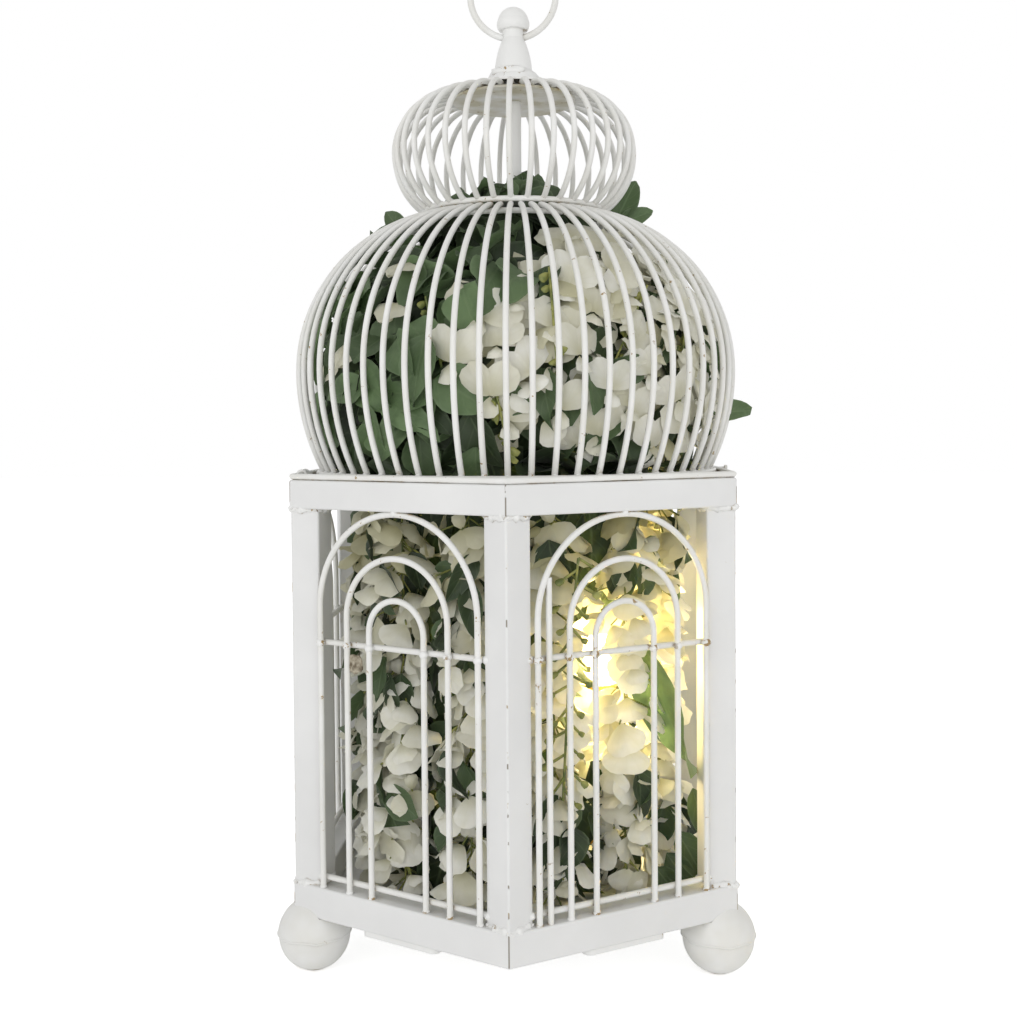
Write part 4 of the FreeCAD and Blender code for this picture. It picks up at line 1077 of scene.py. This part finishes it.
# %% Mix the halves at the back
BACK_ROWS = 18
for k in range(BACK_ROWS):
    level = 266 + 6.6 * k
    leaf_side.append(dome_leaf(math.pi - between(0.02, 0.42), level, between(5, 9), between(24, 34),
                               between(17, 23), between(0.3, 0.85)))
    if k % 3:
        at, outward = on_dome(-math.pi + between(0.02, 0.4), level, between(5, 9))
        blossom_side.append((open_floret, facing(at, outward, UP, dice.gauss(0, 0.6), 1.0), 0.9))
print("leaves with those at the back:", len(leaf_side), "florets", len(blossom_side))

# %% Join the dome's pieces
leaf_half = bunch("dome_leaves", leaf_side, leaf_cloth)
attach(leaf_half, "lid")
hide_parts("leaf_spray")
blossom_half = bunch("dome_blossom", blossom_side, petal_cloth)
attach(blossom_half, "lid")
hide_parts("blossom_spray")
dark_half = bunch("dome_back_leaves", back_leaves, leaf_cloth)
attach(dark_half, "lid")
slipped_out = bunch("dome_leaf_tips", loose_tips, leaf_cloth)
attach(slipped_out, "lid")
inner = (leaf_half, blossom_half, dark_half, dome_buds)
print("tucked behind the dome wires:", [tuck_into_dome(piece) for piece in inner])
put_away(*FLOWERS, *LEAVES)
print("dome faces:", [len(piece.data.polygons) for piece in inner])

# %% [markdown]
# ## Light, floor and camera
# The picture was taken in soft, even light, a little stronger from the left, on white. Wide area lamps
# above to the left and right, a low one in front, one behind and a pale world give that, and a small warm
# lamp sits in the bulb. Camera rays see the world as plain white, and the floor too, apart from the soft
# shadow under the feet.

# %% Light
AIM = rise(0.26)


def area_light(name, at, width, height, power):
    lamp = bpy.data.lights.new(name, "AREA")
    lamp.shape = "RECTANGLE"
    lamp.size = width
    lamp.size_y = height
    lamp.energy = power
    holder = linked(name, lamp)
    holder.location = at
    holder.rotation_euler = (AIM - Vector(at)).to_track_quat("-Z", "Y").to_euler()


area_light("key", (-0.95, -1.35, 0.72), 1.4, 0.6, 4.0)
area_light("fill", (1.1, -1.25, 0.6), 1.3, 0.6, 2.0)
area_light("front", (0.0, -1.6, 0.26), 0.9, 0.5, 3.0)
area_light("back", (0.2, 1.6, 0.55), 1.6, 0.8, 4.0)
glow = bpy.data.lights.new("bulb glow", "POINT")
glow.energy = 3.5
glow.color = srgb("#FFEDB0")[:3]
glow.shadow_soft_size = 26 * MM
linked("bulb glow", glow).location = BULB
print("lamps:", [lamp.name for lamp in bpy.data.lights])

# %% World
scene = bpy.context.scene
scene.view_settings.view_transform = "Standard"
scene.world = bpy.data.worlds.new("white studio")
scene.world.use_nodes = True
sky = scene.world.node_tree
sky.nodes.clear()
seen = add_node(sky, "LightPath", out="Is Camera Ray")
for kind in ("Is Glossy Ray", "Is Transmission Ray"):
    ray = add_node(sky, "LightPath", out=kind)
    seen = add_node(sky, "Math", [seen, ray], operation="MAXIMUM")
soft = add_node(sky, "Background", {"Color": "#FFFFFF", "Strength": 0.66})
plain = add_node(sky, "Background", {"Color": "#FFFFFF", "Strength": 1.0})
both = add_node(sky, "MixShader", [seen, soft, plain])
add_node(sky, "OutputWorld", {"Surface": both})
print("world:", scene.world.name)

# %% Floor
bpy.ops.mesh.primitive_plane_add(size=12)
floor = bpy.context.active_object
floor.name = "studio_floor"
paper = bpy.data.materials.new("white studio paper")
paper.use_nodes = True
sheet = paper.node_tree
sheet.nodes.clear()
looked_at = add_node(sheet, "LightPath", out="Is Camera Ray")
matt = add_node(sheet, "BsdfDiffuse", {"Color": "#F4F4F4"})
bright = add_node(sheet, "Emission", {"Color": "#FFFFFF", "Strength": 0.6})
# a glow of its own though the floor is no lamp: for every ray but the camera's it gives off faint light that
# lifts the object from below
faint = add_node(sheet, "Emission", {"Color": "#FFFFFF", "Strength": 0.1})
seen_floor = add_node(sheet, "AddShader", [matt, bright])
floor_with_faint_glow = add_node(sheet, "AddShader", [matt, faint])
chosen = add_node(sheet, "MixShader", [looked_at, floor_with_faint_glow, seen_floor])
add_node(sheet, "OutputMaterial", {"Surface": chosen})
floor.data.materials.append(paper)
print("floor:", floor.name)

# %% Camera
LENS = 44.39
DISTANCE, AZIMUTH, EYE = 0.6946, 2.2, 0.2782
PITCH, ROLL = 1.65, -0.42
SENSOR, SHIFT_X, SHIFT_Y = 36.0, -0.0077, -0.0477
camera_data = bpy.data.cameras.new("photo camera")
camera_data.lens = LENS
camera_data.sensor_width = SENSOR
camera_data.shift_x = SHIFT_X
camera_data.shift_y = SHIFT_Y
camera_data.clip_start = 0.01
camera = linked("photo camera", camera_data)
around = math.radians(AZIMUTH)
eye = Matrix.Translation((DISTANCE * math.sin(around), -DISTANCE * math.cos(around), EYE))
pitched = eye @ turn(AZIMUTH) @ Matrix.Rotation(math.radians(90 - PITCH), 4, "X")
camera.matrix_world = pitched @ turn(ROLL)
scene.camera = camera
print("camera at", list(camera.matrix_world.translation))
